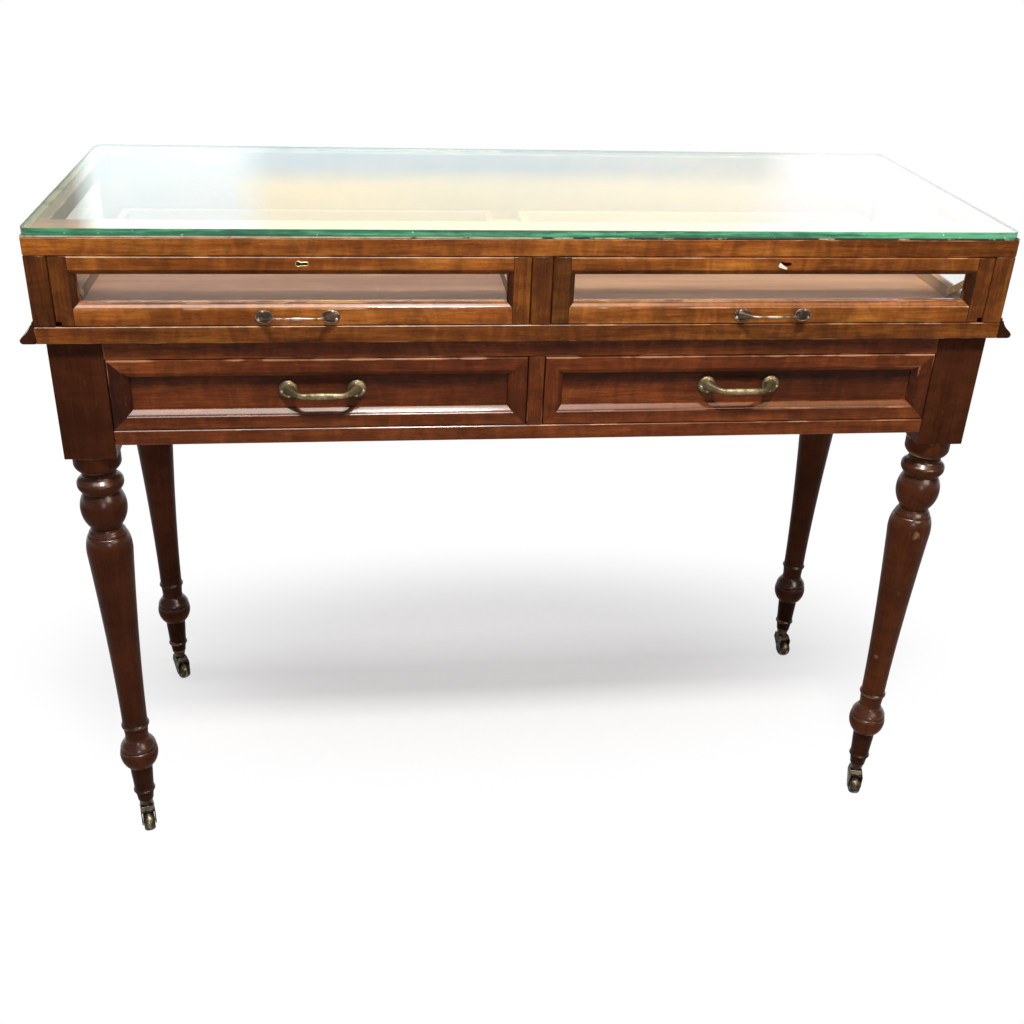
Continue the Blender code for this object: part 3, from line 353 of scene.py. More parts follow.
@dataclass(frozen=True)
class AgedMetal:
    """Brass or bronze that has darkened, with pale rubbed crests, dull patches and small pits."""

    name: str
    dark: Colour
    dull: Colour
    bright: Colour
    roughness: float = 0.38

    def material(self) -> bpy.types.Material:
        """Draw the finish from the mesh's state.

        Returns:
            The material.
        """
        s = Sketch(self.name)
        place = s.place()
        wear, tone, grime_and_shade = s.split(s.attribute("state"))
        patches = s.noise(place, scale=120.0, detail=4.0, roughness=0.6)
        grit = s.noise(place, scale=900.0, detail=3.0)
        colour = s.ramp(patches, ((0.36, self.dark), (0.60, self.dull)))
        rubbed = s.calc("ADD", wear, s.calc("MULTIPLY", s.calc("SUBTRACT", patches, 0.5), 0.9))
        colour = s.blend(s.step(rubbed, 0.30, 0.95), colour, self.bright)
        colour = s.blend(s.step(grime_and_shade, 0.2, 0.9), colour, (0.018, 0.014, 0.009))
        colour = s.blend(tone, colour, (0.30, 0.29, 0.28), "MULTIPLY")
        rough = s.calc("ADD", s.step(patches, 0.35, 0.65, 0.12, -0.08), self.roughness)
        return s.finish(base_color=colour, metallic=1.0, roughness=rough,
                        normal=s.bump(s.calc("ADD", grit, patches), 0.16, 0.0003))


@dataclass(frozen=True)
class WindowGlass:
    """Old sheet glass with a faint tint and smears. Lamps shine straight through it."""

    name: str
    tint: Colour
    smeared: Colour
    ior: float

    def material(self) -> bpy.types.Material:
        """Draw the glass.

        Returns:
            The material.
        """
        s = Sketch(self.name)
        smears = s.noise(s.stretched(s.place(), (14.0, 14.0, 30.0)), detail=5.0, roughness=0.6)
        film = s.blend(s.step(smears, 0.48, 0.75), self.tint, self.smeared)
        s.finish(base_color=film, roughness=0.0, transmission_weight=1.0, ior=self.ior)
        path = s.add("LightPath").outputs
        clear = s.add("BsdfTransparent", film).outputs[0]
        through = s.calc("MAXIMUM", path["Is Shadow Ray"], path["Is Diffuse Ray"])
        mixed = s.add("MixShader", through, s.shader.outputs[0], clear).outputs[0]
        s.feed(s.output.inputs["Surface"], mixed)
        return s.material


@dataclass(frozen=True)
class GlassEdge:
    """Green ground edge of thick plate glass, with light and dark streaks along it."""

    name: str
    deep: Colour
    middle: Colour
    pale: Colour
    inside: Colour
    right_painted_reflection: Rise = (0.28, 0.42, 0.0, 0.12)

    def material(self) -> bpy.types.Material:
        """Draw the edge, which is paler at its right end, a painted reflection, and dull where it is seen from
        inside the plate.

        Returns:
            The material.
        """
        s = Sketch(self.name)
        place = s.place()
        streaks = s.noise(s.stretched(place, (5.0, 5.0, 190.0)), detail=4.0, roughness=0.6)
        shards = s.noise(s.stretched(place, (46.0, 46.0, 260.0)), detail=2.0)
        value = s.calc("ADD", s.calc("MULTIPLY", streaks, 0.7), s.calc("MULTIPLY", shards, 0.3))
        # Painted reflection: the edge grows paler towards its right end.
        value = s.calc("ADD", value, s.step(s.split(place)[0], *self.right_painted_reflection))
        colour = s.ramp(value, ((0.36, self.deep), (0.50, self.middle), (0.66, self.pale)))
        chips = s.step(s.noise(place, scale=210.0, detail=2.0), 0.70, 0.76)
        colour = s.blend(chips, colour, (0.45, 0.72, 0.60))
        colour = s.blend(s.add("NewGeometry").outputs["Backfacing"], colour, self.inside)
        return s.finish(base_color=colour, roughness=s.step(shards, 0.3, 0.7, 0.10, 0.26),
                        normal=s.bump(streaks, 0.12, 0.0005), specular_ior_level=0.4, coat_weight=0.15)


@dataclass(frozen=True)
class OldBedding:
    """Strip that the plate lies on: pale cloth, olive where the plate presses it, blackened in places."""

    name: str
    pale: Colour
    yellowed: Colour
    pressed: Colour
    black: Colour
    blackened: Rise = (-0.15, 0.20, -0.10, 0.16)
    behind: Rise = (-0.2110, -0.2080, 0.0, 0.11)

    def material(self) -> bpy.types.Material:
        """Draw the strip, which has blackened most to the right and behind the front.

        Returns:
            The material.
        """
        s = Sketch(self.name)
        place = s.place()
        weave = s.noise(place, scale=1400.0, detail=2.0)
        x, y, _ = s.split(place)
        age = s.noise(place, scale=26.0, detail=4.0, roughness=0.65)
        age = s.calc("ADD", age, s.calc("ADD", s.step(x, *self.blackened), s.step(y, *self.behind)))
        colour = s.ramp(s.noise(place, scale=70.0, detail=3.0), ((0.38, self.yellowed), (0.6, self.pale)))
        lift = s.split(s.add("NewGeometry").outputs["Normal"])[2]
        colour = s.blend(s.step(lift, 0.5, 0.8, 0.0, 0.85), colour, self.pressed)
        colour = s.blend(s.step(age, 0.53, 0.62), colour, self.black)
        colour = s.dim(colour, s.step(weave, 0.3, 0.7, 0.75, 1.1))
        return s.finish(base_color=colour, roughness=s.step(weave, 0.2, 0.8, 0.8, 0.98),
                        normal=s.bump(weave, 0.4, 0.0004))


class Finish(Enum):
    """The finishes of this table."""

    CASE = PolishedWood("golden_polished_wood", (0.118, 0.029, 0.005), (0.228, 0.063, 0.0093),
                        (0.355, 0.129, 0.021), (0.46, 0.22, 0.09))
    FRIEZE = PolishedWood("red_brown_polished_wood", (0.070, 0.0150, 0.004), (0.125, 0.028, 0.0068),
                          (0.200, 0.052, 0.011), (0.38, 0.17, 0.08), figure=0.20)
    TURNED = PolishedWood("dark_turned_wood", (0.038, 0.0104, 0.0042), (0.047, 0.0128, 0.0050),
                          (0.057, 0.0158, 0.0060), (0.17, 0.075, 0.035), roughness=0.30, dulled=0.0,
                          shine=0.02, figure=0.12, pores=0.15, gloss=0.24, upright=(0.12, 0.45))
    # A paler copy of the turned wood, used on one leg.
    SUNNED = PolishedWood("paler_turned_wood", (0.050, 0.0134, 0.0050), (0.064, 0.0176, 0.0062),
                          (0.080, 0.0228, 0.0078), (0.33, 0.180, 0.105), roughness=0.30, dulled=0.0,
                          shine=0.02, figure=0.14, pores=0.15, gloss=0.24, upright=(0.12, 0.45), scuffs=0.20)
    TRAY_GREY = BareWood("dulled_tray_wood", (0.125, 0.058, 0.034), (0.240, 0.128, 0.080),
                         (0.080, 0.037, 0.022))
    TRAY_WARM = BareWood("brown_tray_wood", (0.205, 0.092, 0.045), (0.400, 0.220, 0.125),
                         (0.130, 0.058, 0.028))
    CARCASS = BareWood("bare_carcass_wood", (0.22, 0.118, 0.058), (0.39, 0.24, 0.130), (0.12, 0.060, 0.028))
    BRASS = AgedMetal("aged_olive_brass", (0.084, 0.066, 0.037), (0.168, 0.135, 0.078),
                      (0.38, 0.31, 0.19), 0.50)
    BRONZE = AgedMetal("dark_bronze", (0.042, 0.029, 0.021), (0.115, 0.083, 0.061), (0.52, 0.42, 0.31), 0.42)
    CASTOR = AgedMetal("tarnished_castor_brass", (0.018, 0.015, 0.011), (0.066, 0.055, 0.039),
                       (0.40, 0.34, 0.24), 0.46)
    PALE_BRASS = AgedMetal("pale_worn_brass", (0.34, 0.27, 0.15), (0.62, 0.52, 0.34), (0.88, 0.82, 0.68))
    YELLOW_BRASS = AgedMetal("yellow_strap_brass", (0.26, 0.19, 0.07), (0.47, 0.36, 0.15), (0.80, 0.68, 0.40))
    PLATE = WindowGlass("thick_plate_glass", (0.975, 0.995, 0.985), (0.955, 0.978, 0.968), 1.5)
    PANE = WindowGlass("thin_sheet_glass", (0.985, 0.992, 0.985), (0.955, 0.962, 0.955), 1.3)
    EDGE = GlassEdge("green_glass_edge", (0.007, 0.066, 0.034), (0.020, 0.165, 0.080), (0.11, 0.42, 0.22),
                     (0.085, 0.125, 0.085))
    BEDDING = OldBedding("old_bedding_strip", (0.58, 0.50, 0.36), (0.40, 0.36, 0.19), (0.095, 0.088, 0.042),
                         (0.022, 0.018, 0.013))

    def material(self) -> bpy.types.Material:
        """The finish's material, drawn the first time it is asked for."""
        found = bpy.data.materials.get(self.value.name)
        return found or self.value.material()


def link(name: str, data: bpy.types.ID) -> bpy.types.Object:
    """Add an object to the scene.

    Args:
        name: its name.
        data: its mesh, lamp or camera.

    Returns:
        The object.
    """
    item = bpy.data.objects.new(name, data)
    bpy.context.scene.collection.objects.link(item)
    return item


def clamp(value: float) -> float:
    """Keep a number from 0 to 1."""
    return min(max(value, 0), 1)


class Shape:
    """A bmesh whose face corners keep their grain and their state: wear, tone, and grime with painted shade.

    Edges sharper than CREASE are eased, and faces that meet more gently than SMOOTH are shaded as one.
    BESIDE is the wear beside an eased edge, on faces BROAD times as wide as the easing, over at most INSET of
    their width. Planks come from places up to TREE from the tree's middle.
    """

    CREASE = math.radians(28)
    SMOOTH = math.radians(38)
    BESIDE = 0.55
    BROAD = 4
    INSET = 0.3
    TREE = 3.0

    def __init__(self) -> None:
        """Start an empty shape."""
        self.mesh = bmesh.new()
        self.mesh.loops.layers.float_vector.new("grain")
        self.mesh.loops.layers.float_vector.new("state")

    @property
    def state(self) -> bmesh.types.BMLayerItem:
        """Layer of the corners' wear, tone, and grime with painted shade."""
        return self.mesh.loops.layers.float_vector["state"]

    @property
    def geometry(self) -> list[Any]:
        """Every vertex, edge and face."""
        return [*self.mesh.verts, *self.mesh.edges, *self.mesh.faces]

    def corners(self) -> Iterator[bmesh.types.BMLoop]:
        """Go through the corners of every face."""
        return (loop for face in self.mesh.faces for loop in face.loops)

    @classmethod
    def box(cls, low: Iterable[float], high: Iterable[float]) -> "Shape":
        """Make a box between two corners.

        Args:
            low: lowest corner.
            high: highest corner.

        Returns:
            The box.
        """
        shape = cls()
        low, high = Vector(low), Vector(high)
        bmesh.ops.create_cube(shape.mesh, size=1.0)
        bmesh.ops.scale(shape.mesh, vec=high - low, verts=shape.mesh.verts)
        bmesh.ops.translate(shape.mesh, vec=(high + low) / 2, verts=shape.mesh.verts)
        return shape

    @classmethod
    def bar(cls, outline: Sequence[Point], axis: Axis, low: float, high: float) -> "Shape":
        """Extrude an outline along an axis.

        Args:
            outline: points of the outline, as the other two coordinates in X, Y, Z order.
            axis: direction of the bar.
            low: where the bar starts.
            high: where the bar ends.

        Returns:
            The bar.
        """
        shape = cls()
        ring = [shape.mesh.verts.new(axis.place(low, pair)) for pair in outline]
        face = shape.mesh.faces.new(ring)
        grown = bmesh.ops.extrude_face_region(shape.mesh, geom=[face])["geom"]
        moved = [item for item in grown if isinstance(item, bmesh.types.BMVert)]
        bmesh.ops.translate(shape.mesh, vec=axis.place(high - low, (0, 0)), verts=moved)
        bmesh.ops.recalc_face_normals(shape.mesh, faces=shape.mesh.faces)
        return shape

    @classmethod
    def turned(cls, profile: Sequence[Point], steps: int, axis: Axis = Axis.Z,
               reach: float = 0.003) -> "Shape":
        """Turn a profile of (height, radius) points about an axis through the origin.

        Args:
            profile: points of the profile. It closes on itself where its last point is its first.
            steps: facets of a turn.
            axis: axis that the heights run along.
            reach: how far from a crest or a hollow its neighbours are looked at, or 0 for an even finish.

        Returns:
            The turned shape, with crests worn and hollows darkened by grime and painted shade.
        """
        shape = cls()
        points = [shape.mesh.verts.new((radius, 0, height)) for height, radius in profile]
        edges = [shape.mesh.edges.new(pair) for pair in zip(points, points[1:])]
        bmesh.ops.spin(shape.mesh, geom=points + edges, axis=(0, 0, 1), cent=(0, 0, 0), steps=steps,
                       angle=2 * math.pi, use_merge=True)
        bmesh.ops.remove_doubles(shape.mesh, verts=shape.mesh.verts, dist=1e-6)
        if reach:
            state = shape.state
            for loop in shape.corners():
                place = loop.vert.co
                relief = relief_at(profile, place.z, place.xy.length, reach)
                # Crests get wear; hollows get grime together with painted shade.
                loop[state] = (clamp(relief), 0, clamp(-relief))
        turns = {Axis.X: ("Y", 1), Axis.Y: ("X", 1), Axis.Z: ("Z", 0)}
        name, quarter = turns[axis]
        shape.rotate(Matrix.Rotation(quarter * math.pi / 2, 3, name))
        bmesh.ops.recalc_face_normals(shape.mesh, faces=shape.mesh.faces)
        return shape

    @classmethod
    def sweep(cls, path: Sequence[Vector], radii: Sequence[float], sides: int) -> "Shape":
        """Run a round section of changing radius along a path.

        Args:
            path: points of the path.
            radii: radius at each point.
            sides: facets of the section.

        Returns:
            The swept bar, closed at both ends.
        """
        shape = cls()
        before = None
        last = len(path) - 1
        for index, (point, radius) in enumerate(zip(path, radii)):
            along = path[min(index + 1, last)] - path[max(index - 1, 0)]
            matrix = Matrix.Translation(point) @ along.to_track_quat("Z", "Y").to_matrix().to_4x4()
            ring = bmesh.ops.create_circle(shape.mesh, cap_ends=index in (0, last), radius=radius,
                                           segments=sides, matrix=matrix)
            edges = {edge for vert in ring["verts"] for edge in vert.link_edges}
            if before:
                bmesh.ops.bridge_loops(shape.mesh, edges=list(before | edges))
            before = edges
        bmesh.ops.recalc_face_normals(shape.mesh, faces=shape.mesh.faces)
        return shape

    def hand_over(self, name: str) -> bpy.types.Mesh:
        """Turn the shape into a mesh, which uses it up.

        Args:
            name: name of the mesh.

        Returns:
            The mesh.
        """
        mesh = bpy.data.meshes.new(name)
        self.mesh.to_mesh(mesh)
        self.mesh.free()
        return mesh

    def absorb(self, other: "Shape") -> "Shape":
        """Take in another shape, which is then used up.

        Args:
            other: the other shape.

        Returns:
            This shape.
        """
        mesh = other.hand_over("absorbed")
        self.mesh.from_mesh(mesh)
        bpy.data.meshes.remove(mesh)
        return self

    def rotate(self, matrix: Matrix) -> "Shape":
        """Turn the shape about the origin by a matrix."""
        bmesh.ops.rotate(self.mesh, verts=self.mesh.verts, cent=(0, 0, 0), matrix=matrix)
        return self

    def move(self, offset: Iterable[float], turn: float = 0.0) -> "Shape":
        """Turn the shape about Z through the origin, then shift it.

        Args:
            offset: how far it is shifted.
            turn: angle in radians.

        Returns:
            This shape.
        """
        self.rotate(Matrix.Rotation(turn, 3, "Z"))
        bmesh.ops.translate(self.mesh, vec=Vector(offset), verts=self.mesh.verts)
        return self

    def trim(self, point: Iterable[float], normal: Iterable[float]) -> "Shape":
        """Saw the shape along a plane and drop the side that the normal points to.

        Args:
            point: a point of the plane.
            normal: the plane's normal.

        Returns:
            This shape.
        """
        made = bmesh.ops.bisect_plane(self.mesh, geom=self.geometry, dist=1e-7, plane_co=Vector(point),
                                      plane_no=Vector(normal), clear_outer=True)
        rim = [item for item in made["geom_cut"] if isinstance(item, bmesh.types.BMEdge)]
        bmesh.ops.edgeloop_fill(self.mesh, edges=rim)
        bmesh.ops.recalc_face_normals(self.mesh, faces=self.mesh.faces)
        return self

    def cut(self, tool: "Shape") -> "Shape":
        """Cut another shape out of this one.

        Args:
            tool: the shape to cut away, which is then used up.

        Returns:
            This shape.
        """
        items = [link(name, shape.hand_over(name)) for name, shape in (("body", self), ("tool", tool))]
        modifier = items[0].modifiers.new("cut", "BOOLEAN")
        modifier.operation = "DIFFERENCE"
        modifier.solver = "EXACT"
        modifier.object = items[1]
        bpy.context.view_layer.update()
        depsgraph = bpy.context.evaluated_depsgraph_get()
        result = bpy.data.meshes.new_from_object(items[0].evaluated_get(depsgraph))
        self.mesh = bmesh.new()
        self.mesh.from_mesh(result)
        bpy.data.meshes.remove(result)
        for item in items:
            mesh = item.data
            bpy.data.objects.remove(item, do_unlink=True)
            bpy.data.meshes.remove(mesh)
        return self

    def ease(self, width: float, fade: float = 0.002) -> "Shape":
        """Chamfer every sharp edge, and ring each broad face so that wear fades in from its edges.

        Args:
            width: how far the chamfer reaches.
            fade: how far wear reaches into a face, or less on a narrow one.

        Returns:
            This shape.
        """
        state = self.state
        sharp = [edge for edge in self.mesh.edges
                 if len(edge.link_faces) == 2 and edge.calc_face_angle(0.0) > self.CREASE]
        made = bmesh.ops.bevel(self.mesh, geom=sharp, offset=width, offset_type="OFFSET", segments=1,
                               profile=0.5, affect="EDGES", material=-1, clamp_overlap=True)
        arrises = set(made["faces"])
        rubbed = {vert for face in arrises for vert in face.verts}
        broad = {}
        for face in self.mesh.faces:
            narrow = min(edge.calc_length() for edge in face.edges)
            if face not in arrises and len(face.verts) == 4 and narrow > self.BROAD * width:
                broad[face] = min(fade, narrow * self.INSET)
        rings = set()
        for face, reach in broad.items():
            rings.update(bmesh.ops.inset_individual(self.mesh, faces=[face], thickness=reach,
                                                    use_even_offset=True)["faces"])
        for faces, strength in ((arrises, 1.0), (rings - set(broad), self.BESIDE)):
            for loop in (loop for face in faces for loop in face.loops):
                loop[state] = (strength if loop.vert in rubbed else 0.0, 0, 0)
        return self

    def weather(self, marks: Callable[[Vector], Marks]) -> "Shape":
        """Add wear, tone and grime that depend on the place.

        Args:
            marks: gives wear, tone, and grime with painted shade, at a place.

        Returns:
            This shape.
        """
        state = self.state
        for loop in self.corners():
            loop[state] = loop[state] + Vector(marks(loop.vert.co))
        return self

    def mark(self, wear: float = 0.0, tone: float = 0.0) -> "Shape":
        """Add wear and tone, from 0 to 1, all over the shape."""
        return self.weather(lambda place: (wear, tone, 0.0))

    def tint(self, axis: Axis, tones: Point) -> "Shape":
        """Darken the shape evenly from one end to the other.

        Args:
            axis: direction from end to end.
            tones: how much darker it is at its low and its high end.

        Returns:
            This shape.
        """
        index = axis.value[0]
        first, last = tones
        places = [vert.co[index] for vert in self.mesh.verts]
        low, length = min(places), max(places) - min(places)
        return self.weather(lambda place: (0.0, first + (last - first) * (place[index] - low) / length, 0.0))

    def spare(self, kept: Callable[[Vector], float]) -> "Shape":
        """Take wear back where no hand or cloth reaches.

        Args:
            kept: gives the share of the wear that stays at a place.

        Returns:
            This shape.
        """
        state = self.state
        for loop in self.corners():
            wear, tone, grime_and_shade = loop[state]
            loop[state] = (wear * kept(loop.vert.co), tone, grime_and_shade)
        return self

    def paint_top_shadow(self, reach: float, grime_and_shade: float, tone: float = 0.0, levels: int = 8) -> "Shape":
        """Paint a shadow on the top of the shape, as soot and darker tone, fading out further down.

        Args:
            reach: how far down the painted shadow reaches.
            grime_and_shade: the painted shadow's soot at the top.
            tone: how much darker the painted shadow makes the top.
            levels: bands that the fade is drawn in.

        Returns:
            This shape.
        """
        top = max(vert.co.z for vert in self.mesh.verts)
        for level in range(1, levels + 1):
            bmesh.ops.bisect_plane(self.mesh, geom=self.geometry, dist=1e-7,
                                   plane_co=(0, 0, top - reach * level / levels), plane_no=(0, 0, 1))

        def fade(place: Vector) -> Marks:
            """Work out the painted shadow at a place.

            Args:
                place: the place.

            Returns:
                Wear, tone, and grime with painted shade.
            """
            share = clamp(1 - (top - place.z) / reach)
            share *= share * (3 - 2 * share)
            return 0.0, tone * share, grime_and_shade * min(2 * share, 1)

        return self.weather(fade)

    def paint_shade_on(self, chosen: Callable[[bmesh.types.BMFace], bool], tone: float, grime_and_shade: float) -> "Shape":
        """Paint shade on some faces, as darker tone and soot, and take their wear away.

        Args:
            chosen: tells whether a face is darkened.
            tone: how much darker the painted shade makes it.
            grime_and_shade: the painted shade's soot on it.

        Returns:
            This shape.
        """
        self.mesh.normal_update()
        state = self.state
        for loop in (loop for face in filter(chosen, self.mesh.faces) for loop in face.loops):
            loop[state] = (0.0, loop[state].y + tone, loop[state].z + grime_and_shade)
        return self

    def season(self, axis: Axis, tone: float = 0.0) -> "Shape":
        """Give the shape the grain of one plank, cut from its own place in the tree.

        Args:
            axis: direction of the grain.
            tone: how much darker the plank is, from 0 to 1.

        Returns:
            This shape.
        """
        grain = self.mesh.loops.layers.float_vector["grain"]
        offset = Vector([dice.uniform(-self.TREE, self.TREE) for _ in range(3)])
        for loop in self.corners():
            loop[grain] = Vector([loop.vert.co[index] for index in axis.value]) + offset
        return self.mark(tone=tone)

    def piece(self, name: str, body: str, slot: str, finishes: Sequence[Finish], *nodes: str) -> None:
        """Make the shape a finished piece that rides on a body.

        Args:
            name: name of the piece.
            body: body that it moves with.
            slot: material slot of the record; not used.
            finishes: its finishes, in the order of its faces' material numbers.
            nodes: solids that it stands for.
        """
        mesh = self.hand_over(name)
        for finish in finishes:
            mesh.materials.append(finish.material())
        mesh.shade_smooth()
        mesh.set_sharp_from_angle(angle=self.SMOOTH)
        piece = link(name, mesh)
        piece.modifiers.new("flat_face_normals", "WEIGHTED_NORMAL").keep_sharp = True
        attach(piece, body)
        if nodes:
            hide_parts(*nodes)
        log.info("%s on %s, %d faces", name, body, len(mesh.polygons))


def relief_at(profile: Sequence[Point], height: float, radius: float, reach: float,
              steepness: float = 0.22) -> float:
    """Tell how far a profile's point stands out from its neighbours: about 1 on a crest, -1 in a hollow."""
    near = [other for level, other in profile if abs(level - height) <= reach]
    return (radius - sum(near) / len(near)) / (reach * steepness)


def arc(centre: Point, radius: float, start: float, stop: float, steps: int = 12) -> list[Point]:
    """List points of a circle's arc, from a start to a stop angle in degrees."""
    angles = [math.radians(start + (stop - start) * index / steps) for index in range(steps + 1)]
    return [(centre[0] + radius * math.cos(angle), centre[1] + radius * math.sin(angle)) for angle in angles]


def board(node: str, axis: Axis, tones: Point, ease: float) -> Shape:
    """Make a plank in a box-shaped solid's place, with tones for the low and the high end of its grain."""
    return Shape.box(*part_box(node)).ease(ease).season(axis).tint(axis, tones)


def walls(low: Vector, high: Vector, thickness: float) -> list[Shape]:
    """Make the walls of a tray or a drawer box, which is open to the front.

    Args:
        low: lowest corner of the box.
        high: highest corner of the box.
        thickness: thickness of a wall.

    Returns:
        The left side, the right side and the back between them.
    """
    spans = ((low.x, low.x + thickness, low.y), (high.x - thickness, high.x, low.y),
             (low.x + thickness, high.x - thickness, high.y - thickness))
    return [Shape.box((start, near, low.z), (stop, high.y, high.z)).ease(BOARD_EASE)
            for start, stop, near in spans]


def screw(radius: float, height: float) -> Shape:
    """Make a round-headed slotted screw at the origin, standing out along -Y.

    Args:
        radius: radius of the head.
        height: height of the head.

    Returns:
        The screw's head.
    """
    profile = [(height * across, radius * up) for across, up in arc((0, 0), 1.0, 0, 90, 5)]
    head = Shape.turned(profile + [(-height / 2, radius), (-height / 2, 0)], 20, Axis.Y, 0)
    half_slot, slot_floor = radius * 0.13, height * 0.45
    slot = Shape.box((-radius * 2, -height * 2, -half_slot), (radius * 2, -slot_floor, half_slot))
    return head.cut(slot.rotate(Matrix.Rotation(dice.uniform(0, math.pi), 3, "Y")))


@dataclass
class GlassTop:
    """Plate of glass with rounded corners and ground edges, on its bedding strip."""

    corner: float = 0.012
    arris: float = 0.0007
    strip: float = 0.009

    def build(self) -> None:
        """Make the plate and the strip."""
        self.build_plate()
        self.build_bedding()

    def build_plate(self) -> None:
        """Make the plate: clear faces and green edges."""
        plate = Shape.box(*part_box("glass_top"))
        upright = [edge for edge in plate.mesh.edges
                   if abs(edge.verts[0].co.z - edge.verts[1].co.z) > CUT]
        bmesh.ops.bevel(plate.mesh, geom=upright, offset=self.corner, segments=10, profile=0.5,
                        affect="EDGES", material=-1)
        flat = [face for face in plate.mesh.faces if abs(face.normal.z) > 0.9]
        rims = list({edge for face in flat for edge in face.edges})
        bmesh.ops.bevel(plate.mesh, geom=rims, offset=self.arris, segments=2, profile=0.5, affect="EDGES",
                        material=-1)
        for face in plate.mesh.faces:
            face.material_index = 0 if abs(face.normal.z) > 0.99 else 1
        plate.piece("glass_top_plate", "table", "plate_glass", [Finish.PLATE, Finish.EDGE], "glass_top")

    def build_bedding(self) -> None:
        """Make the strip as four lengths, butted at the corners."""
        low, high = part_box("glass_bedding")
        inner_low = (low.x + self.strip, low.y + self.strip)
        inner_high = (high.x - self.strip, high.y - self.strip)
        runs = [((low.x, low.y), (high.x, inner_low[1])), ((low.x, inner_high[1]), (high.x, high.y)),
                ((low.x, inner_low[1]), (inner_low[0], inner_high[1])),
                ((inner_high[0], inner_low[1]), (high.x, inner_high[1]))]
        strip = Shape()
        for start, stop in runs:
            strip.absorb(Shape.box((*start, low.z), (*stop, high.z)).ease(GLASS_EASE))
        strip.piece("bedding_strip", "table", "felt", [Finish.BEDDING], "glass_bedding")


@dataclass
class GlazedCase:
    """Upper case: rails, posts, back, floor, end panes and end mouldings."""

    mortise: Point = (0.0204, 0.0054)
    throw: float = 0.007
    ease: float = 0.0009
    upright_wear: float = 0.40
    fillet: float = 0.0035
    nose: float = 0.004
    moulding_tone: float = 0.35
    planks: int = 3
    plank_ease: float = 0.0006
    floor_drop: float = 0.0012
    tray_gap: float = 0.0005
    plank_tone: float = 0.3
    guide_tone: float = 0.2
    top_rail_tones: Point = (0.0, 0.12)
    boards: dict[str, tuple[Axis, Point]] = field(default_factory=lambda: {
        "case_bottom_rail": (Axis.X, (0.50, 0.55)),
        "case_centre_stile": (Axis.Z, (0.65, 0.70)),
        "case_post_left": (Axis.Z, (1.0, 0.95)),
        "case_post_right": (Axis.Z, (0.50, 0.45)),
        "case_back_board": (Axis.X, (0.35, 0.35)),
        "end_top_rail_left": (Axis.Y, (0.95, 0.95)),
        "end_top_rail_right": (Axis.Y, (0.70, 0.70)),
        "end_bottom_rail_left": (Axis.Y, (0.45, 0.45)),
        "end_bottom_rail_right": (Axis.Y, (0.45, 0.45)),
    })

    def build(self) -> None:
        """Make every piece of the case."""
        self.build_top_rail()
        for node, (axis, tones) in self.boards.items():
            plank = board(node, axis, tones, self.ease)
            if axis is Axis.Z:
                plank.spare(lambda place: self.upright_wear)
            plank.piece(f"{node}_board", "table", "case_wood", [Finish.CASE], node)
        for word, side in SIDES.items():
            node = f"end_glass_{word}"
            pane = Shape.box(*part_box(node)).ease(GLASS_EASE)
            pane.piece(f"{node}_sheet", "table", "clear_glass", [Finish.PANE], node)
            self.build_moulding(word, side)
        self.build_floor()

    def build_top_rail(self) -> None:
        """Make the top rail, with the mortises that the lock bolts rise into."""
        node = "case_top_rail"
        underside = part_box(node)[0].z
        rail = board(node, Axis.X, self.top_rail_tones, self.ease)
        half = Vector((*self.mortise, 0)) / 2
        for word in SIDES:
            bolt_low, bolt_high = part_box(f"display_drawer_{word}_bolt")
            centre = (bolt_low + bolt_high) / 2
            rail.cut(Shape.box((centre.x - half.x, centre.y - half.y, underside - CUT),
                               (centre.x + half.x, centre.y + half.y, underside + self.throw)))
        rail.piece(f"{node}_board", "table", "case_wood", [Finish.CASE], node)

    def build_moulding(self, word: str, side: int) -> None:
        """Make the ogee moulding along one end.

        Args:
            word: left or right.
            side: -1 or 1.
        """
        node = f"end_moulding_{word}"
        low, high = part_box(node)
        start, reach = sorted((abs(low.x), abs(high.x)))
        fillet, nose = self.fillet, self.nose
        shelf = high.z - fillet
        outline = [(start, low.z), (start, high.z), (start + fillet / 2, high.z), (start + fillet / 2, shelf)]
        steps = 16
        for index in range(steps + 1):
            share = index / steps
            drop = shelf + (low.z + 2 * nose - shelf) * share
            out = start + fillet + (reach - nose / 2 - start - fillet) * share
            outline.append((out - nose / 2 * math.sin(math.pi * share), drop))
        outline += arc((reach - nose, low.z + nose), nose, 60, -90)
        outline = [(side * x, z) for x, z in outline]
        moulding = Shape.bar(outline, Axis.Y, low.y, high.y).ease(FINE_EASE)
        moulding.season(Axis.Y, self.moulding_tone)
        moulding.piece(f"{node}_strip", "table", "dark_wood", [Finish.TURNED], node)

    def build_floor(self) -> None:
        """Make the floor boards and the guides that the trays run between."""
        low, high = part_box("case_floor")
        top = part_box("display_drawer_left_front")[0].z - self.floor_drop
        floor = Shape()
        depth = (high.y - low.y) / self.planks
        for index in range(self.planks):
            start = low.y + depth * index
            plank = Shape.box((low.x, start, low.z), (high.x, start + depth - FIT, top))
            floor.absorb(plank.ease(self.plank_ease).season(Axis.X, self.plank_tone))
        edges = [low.x]
        for word in SIDES:
            tray_low, tray_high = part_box(f"display_drawer_{word}_tray")
            edges += [tray_low.x - self.tray_gap, tray_high.x + self.tray_gap]
        edges.append(high.x)
        for start, stop in zip(edges[::2], edges[1::2]):
            guide = Shape.box((start, low.y, top - FIT), (stop, high.y, high.z))
            floor.absorb(guide.ease(self.plank_ease).season(Axis.Y, self.guide_tone))
        floor.piece("case_floor_boards", "table", "inner_wood", [Finish.CARCASS], "case_floor")


